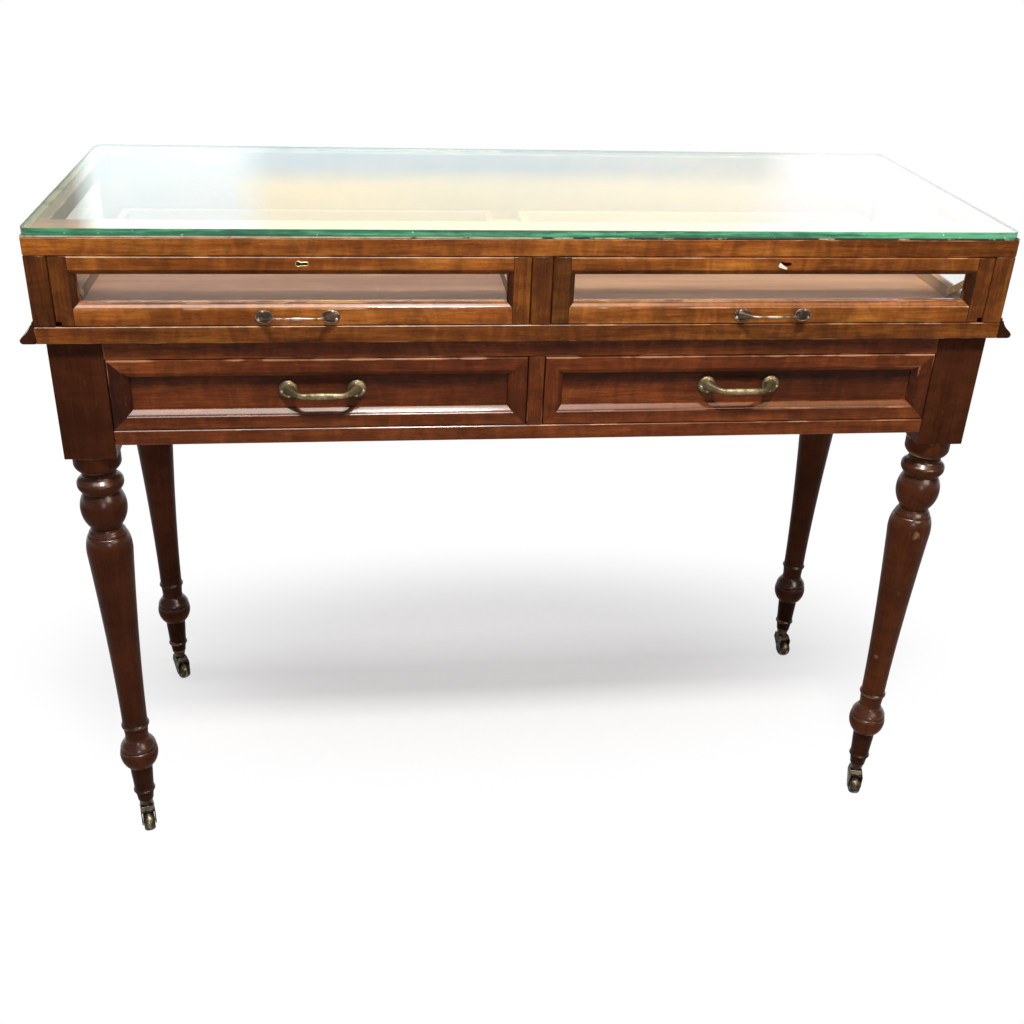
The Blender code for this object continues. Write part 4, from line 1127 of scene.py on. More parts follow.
@dataclass(frozen=True)
class BarHandle:
    """Cast bar handle: two round roses with screws, and a bar that springs out of them like a trumpet."""

    spacing: float
    reach: float
    drop: float
    run: float
    radii: tuple[float, float, float]
    bulge: float
    screws: Sequence[float]
    rose: float
    dome: float
    lip: float = 0.0
    oval: float = 1.0
    rim: float = 0.0015
    screw_ring: float = 0.68
    screw_head: Point = (0.0020, 0.0011)
    screw_wear: float = 0.9
    rose_wear: float = 0.1
    lip_wear: float = 0.5
    bar_wear: float = 0.5
    flare: float = 2.2
    steps: int = 72

    def shape(self) -> Shape:
        """Make the handle about the middle of its fixing face, standing out along -Y.

        Returns:
            The handle.
        """
        handle = self.bar()
        for side in SIDES.values():
            handle.absorb(self.plate(side).move((side * self.spacing / 2, 0, 0)))
        return handle

    def plate(self, side: int) -> Shape:
        """Make one rose with its screws about the middle of its fixing face.

        Args:
            side: -1 for the left rose and 1 for the right one, whose screws mirror each other.

        Returns:
            The rose.
        """
        face = FIT + self.rim
        inner = self.rose - 2 * self.lip
        profile = [(face + self.dome * out, inner * up) for out, up in arc((0, 0), 1.0, 0, 81, 9)]
        if self.lip:
            profile += arc((face, self.rose - self.lip), self.lip, -90, 90, 8)
        else:
            profile += arc((face - self.rim / 3, self.rose - self.rim / 3), self.rim / 3, 0, 90, 3)
        plate = Shape.turned(profile + [(FIT, self.rose), (FIT, 0)], 40, Axis.Y, 0)
        bright = self.rose - 1.7 * self.lip
        plate.weather(lambda place: (
            self.lip_wear if self.lip and math.hypot(place.x, place.z) > bright else self.rose_wear, 0, 0))
        for angle in self.screws:
            turn = math.radians(angle if side > 0 else 180 - angle)
            stand = face + self.dome * math.sqrt(1 - self.screw_ring ** 2) - self.screw_head[1] / 3
            ring = self.rose * self.screw_ring
            head = screw(*self.screw_head).mark(wear=self.screw_wear)
            plate.absorb(head.move((ring * math.cos(turn), -stand, ring * math.sin(turn))))
        bmesh.ops.scale(plate.mesh, vec=(self.oval, 1, 1), verts=plate.mesh.verts)
        return plate

    def bar(self) -> Shape:
        """Make the bar alone.

        Returns:
            The bar, which starts and ends inside the roses.
        """
        middle, waist, root = self.radii
        half, sunk = self.spacing / 2, self.rim / 2
        path, radii = [], []
        for index in range(self.steps + 1):
            x = self.spacing * (index / self.steps - 0.5)
            share = min((half - abs(x)) / self.run, 1.0)
            out = math.sin(math.pi / 2 * share)
            path.append(Vector((x, -FIT - sunk - (self.reach - sunk) * out, -self.drop * out)))
            swell = math.exp(-(x / self.bulge) ** 2)
            radii.append(waist + (middle - waist) * swell + (root - waist) * (1 - share) ** self.flare)
        face = self.rim + self.dome
        return Shape.sweep(path, radii, 20).weather(
            lambda place: (self.bar_wear * max(-place.y - face, 0) / self.reach, 0, 0))


UPPER_HANDLE = BarHandle(spacing=0.079, reach=0.0165, drop=-0.0022, run=0.0165,
                         radii=(0.0022, 0.0014, 0.0072), bulge=0.009, screws=(75, 325), rose=0.0082,
                         dome=0.0010, lip=0.0006, oval=1.32, screw_head=(0.0017, 0.0009))
LOWER_HANDLE = BarHandle(spacing=0.0855, reach=0.0235, drop=0.0005, run=0.020,
                         radii=(0.0046, 0.0031, 0.0080), bulge=0.026, screws=(100, 265, 345), rose=0.0119,
                         dome=0.0042)


@dataclass(frozen=True)
class Escutcheon:
    """Small loose plate, broad at one end, that hangs askew over a keyhole by its one screw."""

    half: float = 0.0042
    narrow: float = 0.0014
    broad: float = 0.0027
    thickness: float = 0.0008
    ease: float = 0.0003
    wear: float = 0.8
    tilt: Point = (24.0, 7.0)
    hang: Place = (-0.0026, -0.0003, -0.0030)
    screw_head: Point = (0.0011, 0.0006)
    screw_place: Place = (-0.0042, -0.0009, 0.0018)

    def shape(self) -> Shape:
        """Make the plate about the middle of the keyhole, standing out along -Y.

        Returns:
            The plate.
        """
        outline = arc((self.half, 0), self.narrow, -90, 90, 10)
        outline += arc((-self.half, 0), self.broad, 90, 270, 10)
        plate = Shape.bar(outline, Axis.Y, -self.thickness, 0.0).ease(self.ease).mark(wear=self.wear)
        aside, forward = map(math.radians, self.tilt)
        plate.rotate(Matrix.Rotation(aside, 3, "Y") @ Matrix.Rotation(forward, 3, "X"))
        return plate.absorb(screw(*self.screw_head).move(self.screw_place)).move(self.hang)


@dataclass
class DisplayDrawer:
    """Upper drawer: glazed front with its lock and handle, tray, braces and trim."""

    word: str
    stile: float = 0.0215
    top_rail: float = 0.0165
    bottom_rail: float = 0.0205
    stile_tones: Point = (0.90, 0.50)
    upright_wear: float = 0.40
    bevel: float = 0.006
    bevel_depth: float = 0.0058
    # Painted shade on the bevels that face sideways or down: darker tone and soot.
    bevel_painted_shade: Point = (0.6, 0.35)
    glass_depth: float = 0.010
    rebate: float = 0.005
    notch: Point = (0.006, 0.005)
    ease: float = 0.0009
    keyhole: tuple[float, float, float] = (0.0143, 0.0029, 0.0036)
    key_offset: float = 0.008
    lining: float = 0.0006
    lining_depth: float = 0.0030
    lining_ease: float = 0.00015
    lining_wear: float = 0.2
    proud: float = 0.0004
    lock_ease: float = 0.0005
    bead: float = 0.0045
    bead_inset: float = 0.0015
    bead_tone: float = 0.3
    tray_wall: float = 0.010
    tray_joint: float = 0.56
    # Painted shade on each tray floor, darkest at its left end, away from the light through the right end
    # glass.
    tray_painted_shade: dict[str, float] = field(default_factory=lambda: {"left": 0.0, "right": 0.45})
    tray_side_wear: float = 0.3
    tray_back_tone: float = 0.15
    tray_finishes: dict[str, tuple[Finish, Finish]] = field(default_factory=lambda: {
        "left": (Finish.TRAY_GREY, Finish.TRAY_GREY),
        "right": (Finish.TRAY_WARM, Finish.CARCASS),
    })
    strap: tuple[float, float, float] = (0.046, 0.030, 0.009)
    strap_thickness: float = 0.0025
    strap_tab: Point = (0.013, 0.014)
    strap_wear: float = 0.2
    handle_lift: float = 0.0012

    def __post_init__(self) -> None:
        """Read the front's place from the frame."""
        self.side = SIDES[self.word]
        self.name = f"display_drawer_{self.word}"
        self.low, self.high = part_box(f"{self.name}_front")
        self.centre = (self.low.x + self.high.x) / 2
        self.key = (self.centre + self.key_offset, self.high.z - self.top_rail / 2)

    def build(self) -> None:
        """Make every piece of the drawer."""
        self.build_front()
        self.build_pane()
        self.build_tray()
        self.build_braces()
        self.build_lock()
        self.build_handle()

    def section(self, face: float, inward: int) -> list[Point]:
        """Section of a frame member, as (distance, depth) points.

        Args:
            face: width of the member's flat face.
            inward: 1 where the opening lies towards higher coordinates, else -1.

        Returns:
            The points, with distances from the member's outer edge.
        """
        front, back = self.low.y, self.high.y
        sight = face + self.bevel
        seat = front + self.glass_depth
        points = [(0, back), (0, front), (face, front), (sight, front + self.bevel_depth), (sight, seat),
                  (sight - self.rebate, seat), (sight - self.rebate, back)]
        return [(inward * distance, depth) for distance, depth in points]

    def build_front(self) -> None:
        """Make the frame: two full stiles, and two rails between them with the keyhole and the notch."""
        front = Shape()
        for side, tone in zip(SIDES.values(), self.stile_tones):
            edge = self.high.x if side > 0 else self.low.x
            outline = [(edge + x, y) for x, y in self.section(self.stile, -side)]
            stile = Shape.bar(outline, Axis.Z, self.low.z, self.high.z)
            if side == self.side:
                near, far = sorted((edge + side * CUT, edge - side * self.notch[0]))
                stile.cut(Shape.box((near, self.low.y - CUT, self.low.z - CUT),
                                    (far, self.high.y + CUT, self.low.z + self.notch[1])))
            # The stile's sideways bevel gets painted shade.
            stile.ease(self.ease).season(Axis.Z, tone).paint_shade_on(self.is_dark_bevel, *self.bevel_painted_shade)
            front.absorb(stile.spare(lambda place: self.upright_wear))
        start, stop = self.low.x + self.stile, self.high.x - self.stile
        for edge, face, inward in ((self.low.z, self.bottom_rail, 1), (self.high.z, self.top_rail, -1)):
            outline = [(y, edge + z) for z, y in self.section(face, inward)]
            rail = Shape.bar(outline, Axis.X, start - SPARE, stop + SPARE).ease(self.ease)
            rail.trim((start, 0, 0), (-1, 0, 0)).trim((stop, 0, 0), (1, 0, 0))
            # A rail's bevel that faces down gets painted shade.
            rail.season(Axis.X).paint_shade_on(self.is_dark_bevel, *self.bevel_painted_shade)
            if inward < 0:
                rail.cut(self.keyhole_bar(self.lining, self.low.y - CUT, self.high.y + CUT))
            front.absorb(rail)
        front.piece(f"{self.name}_frame", self.name, "case_wood", [Finish.CASE], f"{self.name}_front")

    def is_dark_bevel(self, face: bmesh.types.BMFace) -> bool:
        """Tell whether a face is a bevel that light from above doesn't reach, and not a mere chamfer."""
        leans = face.normal.y < -0.3 and (abs(face.normal.x) > 0.3 or face.normal.z < -0.3)
        return leans and min(edge.calc_length() for edge in face.edges) > 1.5 * self.ease

    def keyhole_bar(self, grow: float, near: float, far: float) -> Shape:
        """Make a bar with the outline of the keyhole, which lies on its side.

        Args:
            grow: how much larger than the hole it is all round.
            near: its front.
            far: its back.

        Returns:
            The bar.
        """
        length, radius, slot = self.keyhole
        x, z = self.key
        half, outer = slot / 2 + grow, radius + grow
        angle = math.degrees(math.asin(half / outer))
        left = x - length / 2 + radius
        right = x + length / 2 - slot / 2
        outline = arc((left, z), outer, angle, 360 - angle, 20) + arc((right, z), half, -90, 90, 10)
        return Shape.bar(outline, Axis.Y, near, far)

    def build_pane(self) -> None:
        """Make the pane and the beads that hold it from behind."""
        node = f"{self.name}_pane"
        low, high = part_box(node)
        pane = Shape.box(low, high).ease(GLASS_EASE)
        pane.piece(f"{node}_sheet", self.name, "clear_glass", [Finish.PANE], node)
        beads = Shape()
        width, near, far = self.bead, high.y + FIT, self.high.y - self.bead_inset
        for z in (low.z, high.z - width):
            bead = Shape.box((low.x, near, z), (high.x, far, z + width))
            beads.absorb(bead.ease(BOARD_EASE).season(Axis.X, self.bead_tone))
        for x in (low.x, high.x - width):
            bead = Shape.box((x, near, low.z + width), (x + width, far, high.z - width))
            beads.absorb(bead.ease(BOARD_EASE).season(Axis.Z, self.bead_tone))
        beads.piece(f"{self.name}_glazing_beads", self.name, "case_wood", [Finish.CASE])

    def build_tray(self) -> None:
        """Make the tray: floor boards, two sides and a back."""
        node = f"{self.name}_tray"
        low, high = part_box(node)
        wall = self.tray_wall
        fade, margin = self.tray_painted_shade[self.word], wall / (high.x - low.x)
        tray = Shape()
        middle = low.y + (high.y - low.y) * self.tray_joint
        for start, stop in ((low.y, middle - FIT / 2), (middle + FIT / 2, high.y - wall)):
            plank = Shape.box((low.x + wall, start, low.z), (high.x - wall, stop, low.z + wall))
            plank.ease(FINE_EASE).season(Axis.X)
            # The floor planks get the painted shade, darker towards their left end.
            tray.absorb(plank.tint(Axis.X, (fade * (1 - margin), fade * margin)))
        *sides, back = walls(low, high, wall)
        for side in sides:
            for face in side.mesh.faces:
                face.material_index = 1
            tray.absorb(side.season(Axis.Y).mark(wear=self.tray_side_wear))
        tray.absorb(back.season(Axis.X, self.tray_back_tone))
        tray.piece(f"{node}_boards", self.name, "tray_wood", self.tray_finishes[self.word], node)

    def build_braces(self) -> None:
        """Make the flat brass braces, each a sloping strap with a tab against the front."""
        run, rise, width = self.strap
        thick = self.strap_thickness
        tab_width, tab_height = self.strap_tab
        slope = Vector((-run, rise)).normalized()
        across = Vector((slope.y, -slope.x)) * width / 2
        for word, side in SIDES.items():
            node = f"{self.name}_brace_{word}"
            low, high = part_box(node)
            outer = high.x - tab_width if side > 0 else low.x + tab_width
            inner = outer - side * thick
            foot = Vector((high.y - across.x, low.z + across.y))
            head = foot + Vector((-run - thick / 2, rise))
            outline = [tuple(foot + across), tuple(foot - across), tuple(head - across), tuple(head + across)]
            brace = Shape.bar(outline, Axis.X, *sorted((outer, inner)))
            brace.trim((0, low.y, 0), (0, -1, 0)).ease(FINE_EASE)
            near, far = sorted((inner, outer + side * tab_width))
            tab = Shape.box((near, low.y, head.y - tab_height / 2),
                            (far, low.y + thick, head.y + tab_height / 2))
            brace.absorb(tab.ease(FINE_EASE)).mark(wear=self.strap_wear)
            brace.piece(f"{node}_strap", self.name, "brass", [Finish.YELLOW_BRASS], node)

    def build_lock(self) -> None:
        """Make the lock case, its bolt, and the trim round the keyhole."""
        node = f"{self.name}_lock"
        low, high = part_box(node)
        bolt_low, bolt_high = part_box(f"{self.name}_bolt")
        case = Shape.box(low, high).ease(self.lock_ease)
        gap = Vector((FIT, FIT, FIT))
        case.cut(Shape.box(bolt_low - gap, bolt_high + gap + Vector((0, 0, CUT))))
        case.piece(f"{node}_case", self.name, "brass", [Finish.BRASS], node)
        bolt = Shape.box(bolt_low, bolt_high).ease(FINE_EASE)
        bolt.piece(f"{self.name}_bolt_bar", f"lock_bolt_{self.word}", "brass", [Finish.BRASS],
                   f"{self.name}_bolt")
        near, far = self.low.y - self.proud, self.low.y + self.lining_depth
        if self.side < 0:
            lining = self.keyhole_bar(self.lining, near, far)
            lining.cut(self.keyhole_bar(0.0, near - CUT, far + CUT))
            lining.ease(self.lining_ease).mark(wear=self.lining_wear)
            finish = Finish.YELLOW_BRASS
        else:
            lining = Escutcheon().shape().move((self.key[0], near, self.key[1]))
            finish = Finish.PALE_BRASS
        lining.piece(f"{self.name}_keyhole_lining", self.name, "brass", [finish])

    def build_handle(self) -> None:
        """Make the bar handle on the bottom rail."""
        node = f"{self.name}_handle"
        height = self.low.z + self.bottom_rail / 2 + self.handle_lift
        handle = UPPER_HANDLE.shape().move((self.centre, self.low.y, height))
        handle.piece(f"{node}_casting", self.name, "bronze", [Finish.BRONZE], node)


@dataclass
class LowerDrawer:
    """Frieze drawer: mitred and moulded front with a sunk panel, box and handle."""

    word: str
    frame: float = 0.017
    fillet: Point = (0.0010, 0.0015)
    moulding: float = 0.0065
    moulding_steps: int = 12
    swell: float = 0.10
    quirk: float = 0.0019
    chamfer: float = 0.0009
    ease: float = 0.00045
    rail_tone: float = 0.05
    stile_tones: dict[str, Point] = field(default_factory=lambda: {
        "left": (0.90, 0.50),
        "right": (0.45, 0.75),
    })
    # Pale lines on the top edge and the lower moulding: partly wear, partly painted highlight.
    rim_wear_and_highlight: float = 0.9
    end_wear: float = 0.8
    sill_wear_and_highlight: float = 0.7
    other_wear: float = 0.12
    panel_depth: float = 0.010
    panel_tuck: float = 0.001
    panel_ease: float = 0.0002
    # Painted shadow along the top of the sunk panel: its reach, its soot and its darker tone for each drawer.
    panel_shadow_reach: float = 0.036
    panel_shadow_soot: float = 0.30
    panel_shadow_tone: dict[str, float] = field(default_factory=lambda: {"left": 0.80, "right": 0.95})
    panel_tones: dict[str, Point] = field(default_factory=lambda: {"left": (0.0, 0.0), "right": (0.0, 0.25)})
    wall: float = 0.010
    bottom: float = 0.007
    bottom_tone: float = 0.1
    handle_lift: float = 0.003

    def __post_init__(self) -> None:
        """Read the front's place from the frame."""
        self.name = f"lower_drawer_{self.word}"
        self.low, self.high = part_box(f"{self.name}_front")

    def build(self) -> None:
        """Make every piece of the drawer."""
        self.build_front()
        self.build_box()
        node = f"{self.name}_handle"
        middle = (self.low + self.high) / 2
        place = (middle.x, self.low.y + self.panel_depth, middle.z + self.handle_lift)
        handle = LOWER_HANDLE.shape().move(place)
        handle.piece(f"{node}_casting", self.name, "brass", [Finish.BRASS], node)

    def section(self) -> list[Point]:
        """Section of the frame: chamfer, flat, fillet, flattened ovolo and quirk.

        Returns:
            The (distance from the outer edge, depth) points.
        """
        front, back = self.low.y, self.high.y
        start = self.frame + self.fillet[0]
        top = front + self.fillet[1]
        fall = self.panel_depth - self.fillet[1] - self.quirk
        points = [(0, back), (0, front + self.chamfer), (self.chamfer, front), (self.frame, front),
                  (self.frame, top)]
        for index in range(self.moulding_steps + 1):
            share = index / self.moulding_steps
            angle = math.pi / 2 * share
            out = share + (math.sin(angle) - share) * self.swell
            drop = share + (1 - math.cos(angle) - share) * self.swell
            points.append((start + self.moulding * out, top + fall * drop))
        points.append((start + self.moulding, back))
        return points

    def build_front(self) -> None:
        """Make the four mitred members and the panel between them."""
        front = Shape()
        low, high = self.low, self.high
        slant = 1 / math.sqrt(2)
        for edge, inward in ((low.z, 1), (high.z, -1)):
            outline = [(y, edge + inward * distance) for distance, y in self.section()]
            rail = Shape.bar(outline, Axis.X, low.x - SPARE, high.x + SPARE).ease(self.ease)
            rail.trim((low.x, 0, edge), (-slant, 0, inward * slant))
            rail.trim((high.x, 0, edge), (slant, 0, inward * slant))
            front.absorb(self.wear_and_light_rim(rail).season(Axis.X, self.rail_tone).spare(self.kept_wear_and_highlight))
        for edge, inward, tone in zip((low.x, high.x), (1, -1), self.stile_tones[self.word]):
            outline = [(edge + inward * distance, y) for distance, y in self.section()]
            stile = Shape.bar(outline, Axis.Z, low.z - SPARE, high.z + SPARE).ease(self.ease)
            stile.trim((edge, 0, low.z), (inward * slant, 0, -slant))
            stile.trim((edge, 0, high.z), (inward * slant, 0, slant))
            front.absorb(stile.season(Axis.Z, tone).spare(self.kept_wear_and_highlight))
        front.absorb(self.panel())
        front.piece(f"{self.name}_moulded_front", self.name, "frieze_wood", [Finish.FRIEZE],
                    f"{self.name}_front")

    def kept_wear_and_highlight(self, place: Vector) -> float:
        """Tell how much of the wear stays: most of it along the top edge, the lower moulding and one end.
        On the edges that face up, this pale wear is partly painted highlight.

        Args:
            place: a place on the front.

        Returns:
            The share that stays.
        """
        low, high, frame = self.low, self.high, self.frame
        if place.z > high.z - 2 * self.chamfer:
            return 1.0
        if self.word == "right" and 0.9 * frame < high.x - place.x < 1.6 * frame:
            return self.end_wear
        inside = low.x + frame < place.x < high.x - frame
        sill = low.z + frame / 2 < place.z < low.z + 1.5 * frame
        return self.sill_wear_and_highlight if inside and sill else self.other_wear

    def wear_and_light_rim(self, rail: Shape) -> Shape:
        """Wear and lighten the chamfer along the front's top edge: partly wear, partly painted highlight.

        Args:
            rail: a rail of the frame.

        Returns:
            The rail.
        """
        reach = 1.5 * self.chamfer
        high, near = self.high.z - reach, self.low.y + reach
        return rail.weather(lambda place: (
            self.rim_wear_and_highlight if place.z > high and place.y < near else 0.0, 0.0, 0.0))

    def panel(self) -> Shape:
        """Make the sunk panel, with a painted shadow along its top, where the frame and the case above would
        shade it.

        Returns:
            The panel.
        """
        low, high, tuck = self.low, self.high, self.panel_tuck
        inset = self.frame + self.fillet[0] + self.moulding - tuck
        panel = Shape.box((low.x + inset, low.y + self.panel_depth, low.z + inset),
                          (high.x - inset, high.y - tuck, high.z - inset))
        panel.ease(self.panel_ease).season(Axis.X).tint(Axis.X, self.panel_tones[self.word])
        return panel.paint_top_shadow(self.panel_shadow_reach, self.panel_shadow_soot, self.panel_shadow_tone[self.word])

    def build_box(self) -> None:
        """Make the drawer box: sides, back and bottom boards."""
        node = f"{self.name}_box"
        low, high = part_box(node)
        wall = self.wall
        box = Shape()
        for side, axis in zip(walls(low, high, wall), (Axis.Y, Axis.Y, Axis.X)):
            box.absorb(side.season(axis))
        floor = Shape.box((low.x + wall, low.y, low.z), (high.x - wall, high.y - wall, low.z + self.bottom))
        box.absorb(floor.ease(FINE_EASE).season(Axis.X, self.bottom_tone))
        box.piece(f"{node}_boards", self.name, "inner_wood", [Finish.CARCASS], node)


@dataclass
class Frieze:
    """Rails, centre stile, aprons and drawer runners between the leg blocks."""

    boards: dict[str, tuple[Axis, Point]] = field(default_factory=lambda: {
        "frieze_top_rail": (Axis.X, (0.10, 0.10)),
        "frieze_bottom_rail": (Axis.X, (0.0, 0.10)),
        "frieze_centre_stile": (Axis.Z, (0.40, 0.40)),
        "back_apron": (Axis.X, (0.3, 0.3)),
        "end_apron_left": (Axis.Y, (0.4, 0.4)),
        "end_apron_right": (Axis.Y, (0.4, 0.4)),
    })
    ease: float = 0.0009
    # Painted shadow that the case above would cast on the top rail: its reach and its soot.
    overhang_painted_shadow: Point = (0.020, 0.40)
    guide: float = 0.015
    guide_gap: float = 0.0005
    guide_tone: float = 0.2
    base_tone: float = 0.1

    def build(self) -> None:
        """Make every piece of the frieze."""
        for node, (axis, tones) in self.boards.items():
            plank = board(node, axis, tones, self.ease)
            # The top rail gets a painted shadow under the case's overhang.
            if node == "frieze_top_rail":
                plank.paint_top_shadow(*self.overhang_painted_shadow)
            plank.piece(f"{node}_board", "table", "frieze_wood", [Finish.FRIEZE], node)
        for word in ("left", "centre", "right"):
            self.build_runner(word)

    def build_runner(self, word: str) -> None:
        """Make one drawer runner, with its guide.

        Args:
            word: left, centre or right.
        """
        node = f"drawer_runner_{word}"
        low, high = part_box(node)
        top, gap = high.z - self.guide, self.guide_gap
        left_box, right_box = (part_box(f"lower_drawer_{side}_box") for side in SIDES)
        if word == "centre":
            base = Shape.box(low, (high.x, high.y, top))
            guide = Shape.box((left_box[1].x + gap, low.y, top - FIT),
                              (right_box[0].x - gap, high.y, high.z))
        else:
            block_low, block_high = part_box(f"leg_front_{word}")
            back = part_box(f"leg_back_{word}")[0].y
            if word == "right":
                inner, outer, face, drawer = low.x, high.x, block_low.x - FIT, right_box[1].x + gap
            else:
                inner, outer, face, drawer = high.x, low.x, block_high.x + FIT, left_box[0].x - gap
            near, far = sorted((inner, face))
            base = Shape.box((near, low.y, low.z), (far, high.y, top))
            near, far = sorted((outer, drawer))
            guide = Shape.box((near, block_high.y + FIT, low.z), (far, back - FIT, high.z))
        runner = Shape()
        for plank, tone in ((base, self.base_tone), (guide, self.guide_tone)):
            runner.absorb(plank.ease(BOARD_EASE).season(Axis.Y, tone))
        runner.piece(f"{node}_boards", "table", "inner_wood", [Finish.CARCASS], node)


class Curve(Enum):
    """Ways that a turned leg's radius changes along one stretch."""

    SWELL = "swell"
    EASE = "ease"
    BULGE = "bulge"
    QUARTER = "quarter"
    TAPER = "taper"


@dataclass(frozen=True)
class Stretch:
    """One stretch of a turned leg, from the top down."""

    curve: Curve
    drop: float
    start: float
    stop: float
    rise: float = 0.0
    steps: int = 8

    def points(self, top: float) -> list[Point]:
        """List the stretch's (height, radius) points.

        Args:
            top: height of its upper end.

        Returns:
            The points, from the top down.
        """
        points = []
        for index in range(self.steps + 1):
            share = index / self.steps
            along = share
            if self.curve is Curve.SWELL:
                radius = self.start + (self.stop - self.start) * share + self.rise * math.sin(math.pi * share)
            elif self.curve is Curve.EASE:
                radius = self.start + (self.stop - self.start) * (1 - math.cos(math.pi * share)) / 2
            elif self.curve is Curve.QUARTER:
                along = 1 - math.cos(share * math.pi / 2)
                radius = self.start + (self.stop - self.start) * math.sin(share * math.pi / 2)
            elif self.curve is Curve.TAPER:
                radius = self.stop + (self.start - self.stop) * (1 - share) ** self.rise
            else:
                first, last = -math.acos(self.start / self.rise), math.acos(self.stop / self.rise)
                angle = first + (last - first) * share
                along = (math.sin(angle) - math.sin(first)) / (math.sin(last) - math.sin(first))
                radius = self.rise * math.cos(angle)
            points.append((top - self.drop * along, radius))
        return points


@dataclass
class TurnedLeg:
    """One leg: square block over a turning with cap, collar, ball, vase, ring, bulb, ankle and foot."""

    corner: str
    turning: float = 0.6335
    foot: float = 0.054
    pintle: Point = (0.0043, 0.0203)
    quirk: float = 0.0009
    # Painted shadow that the case above would cast on the top of each leg block: its reach and its soot.
    overhang_painted_shadow: Point = (0.036, 0.40)
    ankle: Point = (0.112, 0.128)
    paler_corner: str = "front_right"
    scrapes: Sequence[tuple[float, float, float]] = (
        (0.488, 266.0, 1.05), (0.385, 256.0, 0.75), (0.265, 228.0, 1.7))
    scrape_reach: Point = (0.010, 0.022)
    cap: float = 0.0300
    facets: int = 72
    ankle_tone: float = 0.72
    block_ease: float = 0.0009
    block_wear: float = 0.4
    paler_block_tone: float = 0.3

    def stretches(self) -> list[Stretch]:
        """List the turning's stretches, with the vase as long as the others leave room for.

        Returns:
            The stretches, from the top down.
        """
        quirk = self.quirk
        upper = [
            Stretch(Curve.EASE, 0.0175, self.cap, self.cap, steps=2),
            Stretch(Curve.SWELL, 0.0080, self.cap, 0.0258, quirk),
            Stretch(Curve.SWELL, 0.0080, 0.0228, 0.0220, -quirk),
            Stretch(Curve.EASE, 0.0110, 0.0220, 0.0294, steps=10),
            Stretch(Curve.SWELL, 0.0140, 0.0294, 0.0238, 0.0022, 12),
            Stretch(Curve.BULGE, 0.0510, 0.0227, 0.0203, 0.0298, 24),
            Stretch(Curve.SWELL, 0.0030, 0.0203, 0.0205, -quirk / 2, 4),
            Stretch(Curve.EASE, 0.0085, 0.0205, 0.0243, steps=8),
            Stretch(Curve.SWELL, 0.0012, 0.0243, 0.0243, 0.0003, 4),
            Stretch(Curve.QUARTER, 0.0263, 0.0232, 0.0301, steps=16),
        ]
        lower = [
            Stretch(Curve.EASE, 0.0040, 0.0172, 0.0195, steps=6),
            Stretch(Curve.SWELL, 0.0024, 0.0195, 0.0190, 0.0004, 5),
            Stretch(Curve.EASE, 0.0186, 0.0174, 0.0163, steps=6),
            Stretch(Curve.EASE, 0.0200, 0.0163, 0.0253, steps=12),
            Stretch(Curve.SWELL, 0.0016, 0.0253, 0.0253, -quirk, 4),
            Stretch(Curve.BULGE, 0.0340, 0.0253, 0.0160, 0.0270, 16),
            Stretch(Curve.EASE, 0.0420, 0.0160, 0.0142, steps=10),
            Stretch(Curve.EASE, 0.0032, 0.0140, 0.0156, steps=5),
            Stretch(Curve.SWELL, 0.0022, 0.0156, 0.0150, 0.0003, 4),
            Stretch(Curve.EASE, 0.0156, 0.0132, 0.0116, steps=8),
        ]
        room = self.turning - self.foot - sum(item.drop for item in upper + lower)
        return upper + [Stretch(Curve.TAPER, room, 0.0301, 0.0176, 1.6, 40)] + lower

    def build(self) -> None:
        """Make the leg."""
        node = f"leg_{self.corner}"
        low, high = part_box(node)
        axis = ((low.x + high.x) / 2, (low.y + high.y) / 2, 0)
        profile = [(self.turning + CUT, 0), (self.turning + CUT, self.cap)]
        top = self.turning
        for stretch in self.stretches():
            points = stretch.points(top)
            same = math.dist(points[0], profile[-1]) < 1e-6
            profile += points[1:] if same else points
            top -= stretch.drop
        bore, depth = self.pintle
        profile += [(self.foot, bore), (self.foot + depth, bore), (self.foot + depth, 0)]
        leg = Shape.turned(profile, self.facets).season(Axis.Z).weather(self.darker_low)
        finish, tone = Finish.TURNED, 0.0
        if self.corner == self.paler_corner:
            leg.weather(self.scraped)
            finish, tone = Finish.SUNNED, self.paler_block_tone
        leg.move(axis)
        block = Shape.box((low.x, low.y, self.turning), high).ease(self.block_ease).season(Axis.Z, tone)
        # The block gets a painted shadow along its top, under the case's overhang.
        leg.absorb(block.spare(lambda place: self.block_wear).paint_top_shadow(*self.overhang_painted_shadow))
        leg.piece(f"{node}_turning", "table", "dark_wood", [finish], node)

    def scraped(self, place: Vector) -> Marks:
        """Tell how far knocks have taken the polish off the vase, in patches taller than they are wide.

        Args:
            place: a place on the turning, about its axis.

        Returns:
            Wear, tone, and grime with painted shade.
        """
        wear = 0.0
        wide, tall = self.scrape_reach
        for height, heading, depth in self.scrapes:
            turn = math.radians(heading)
            spot = Vector((math.cos(turn), math.sin(turn))) * place.xy.length
            away = math.hypot((place.xy - spot).length / wide, (place.z - height) / tall)
            wear += depth * max(1 - away, 0)
        return wear, 0.0, 0.0

    def darker_low(self, place: Vector) -> Marks:
        """Tell how much darker a place on the leg's ankle or foot is, more so further down."""
        low, high = self.ankle
        return 0.0, self.ankle_tone * clamp((high - place.z) / (high - low)), 0.0


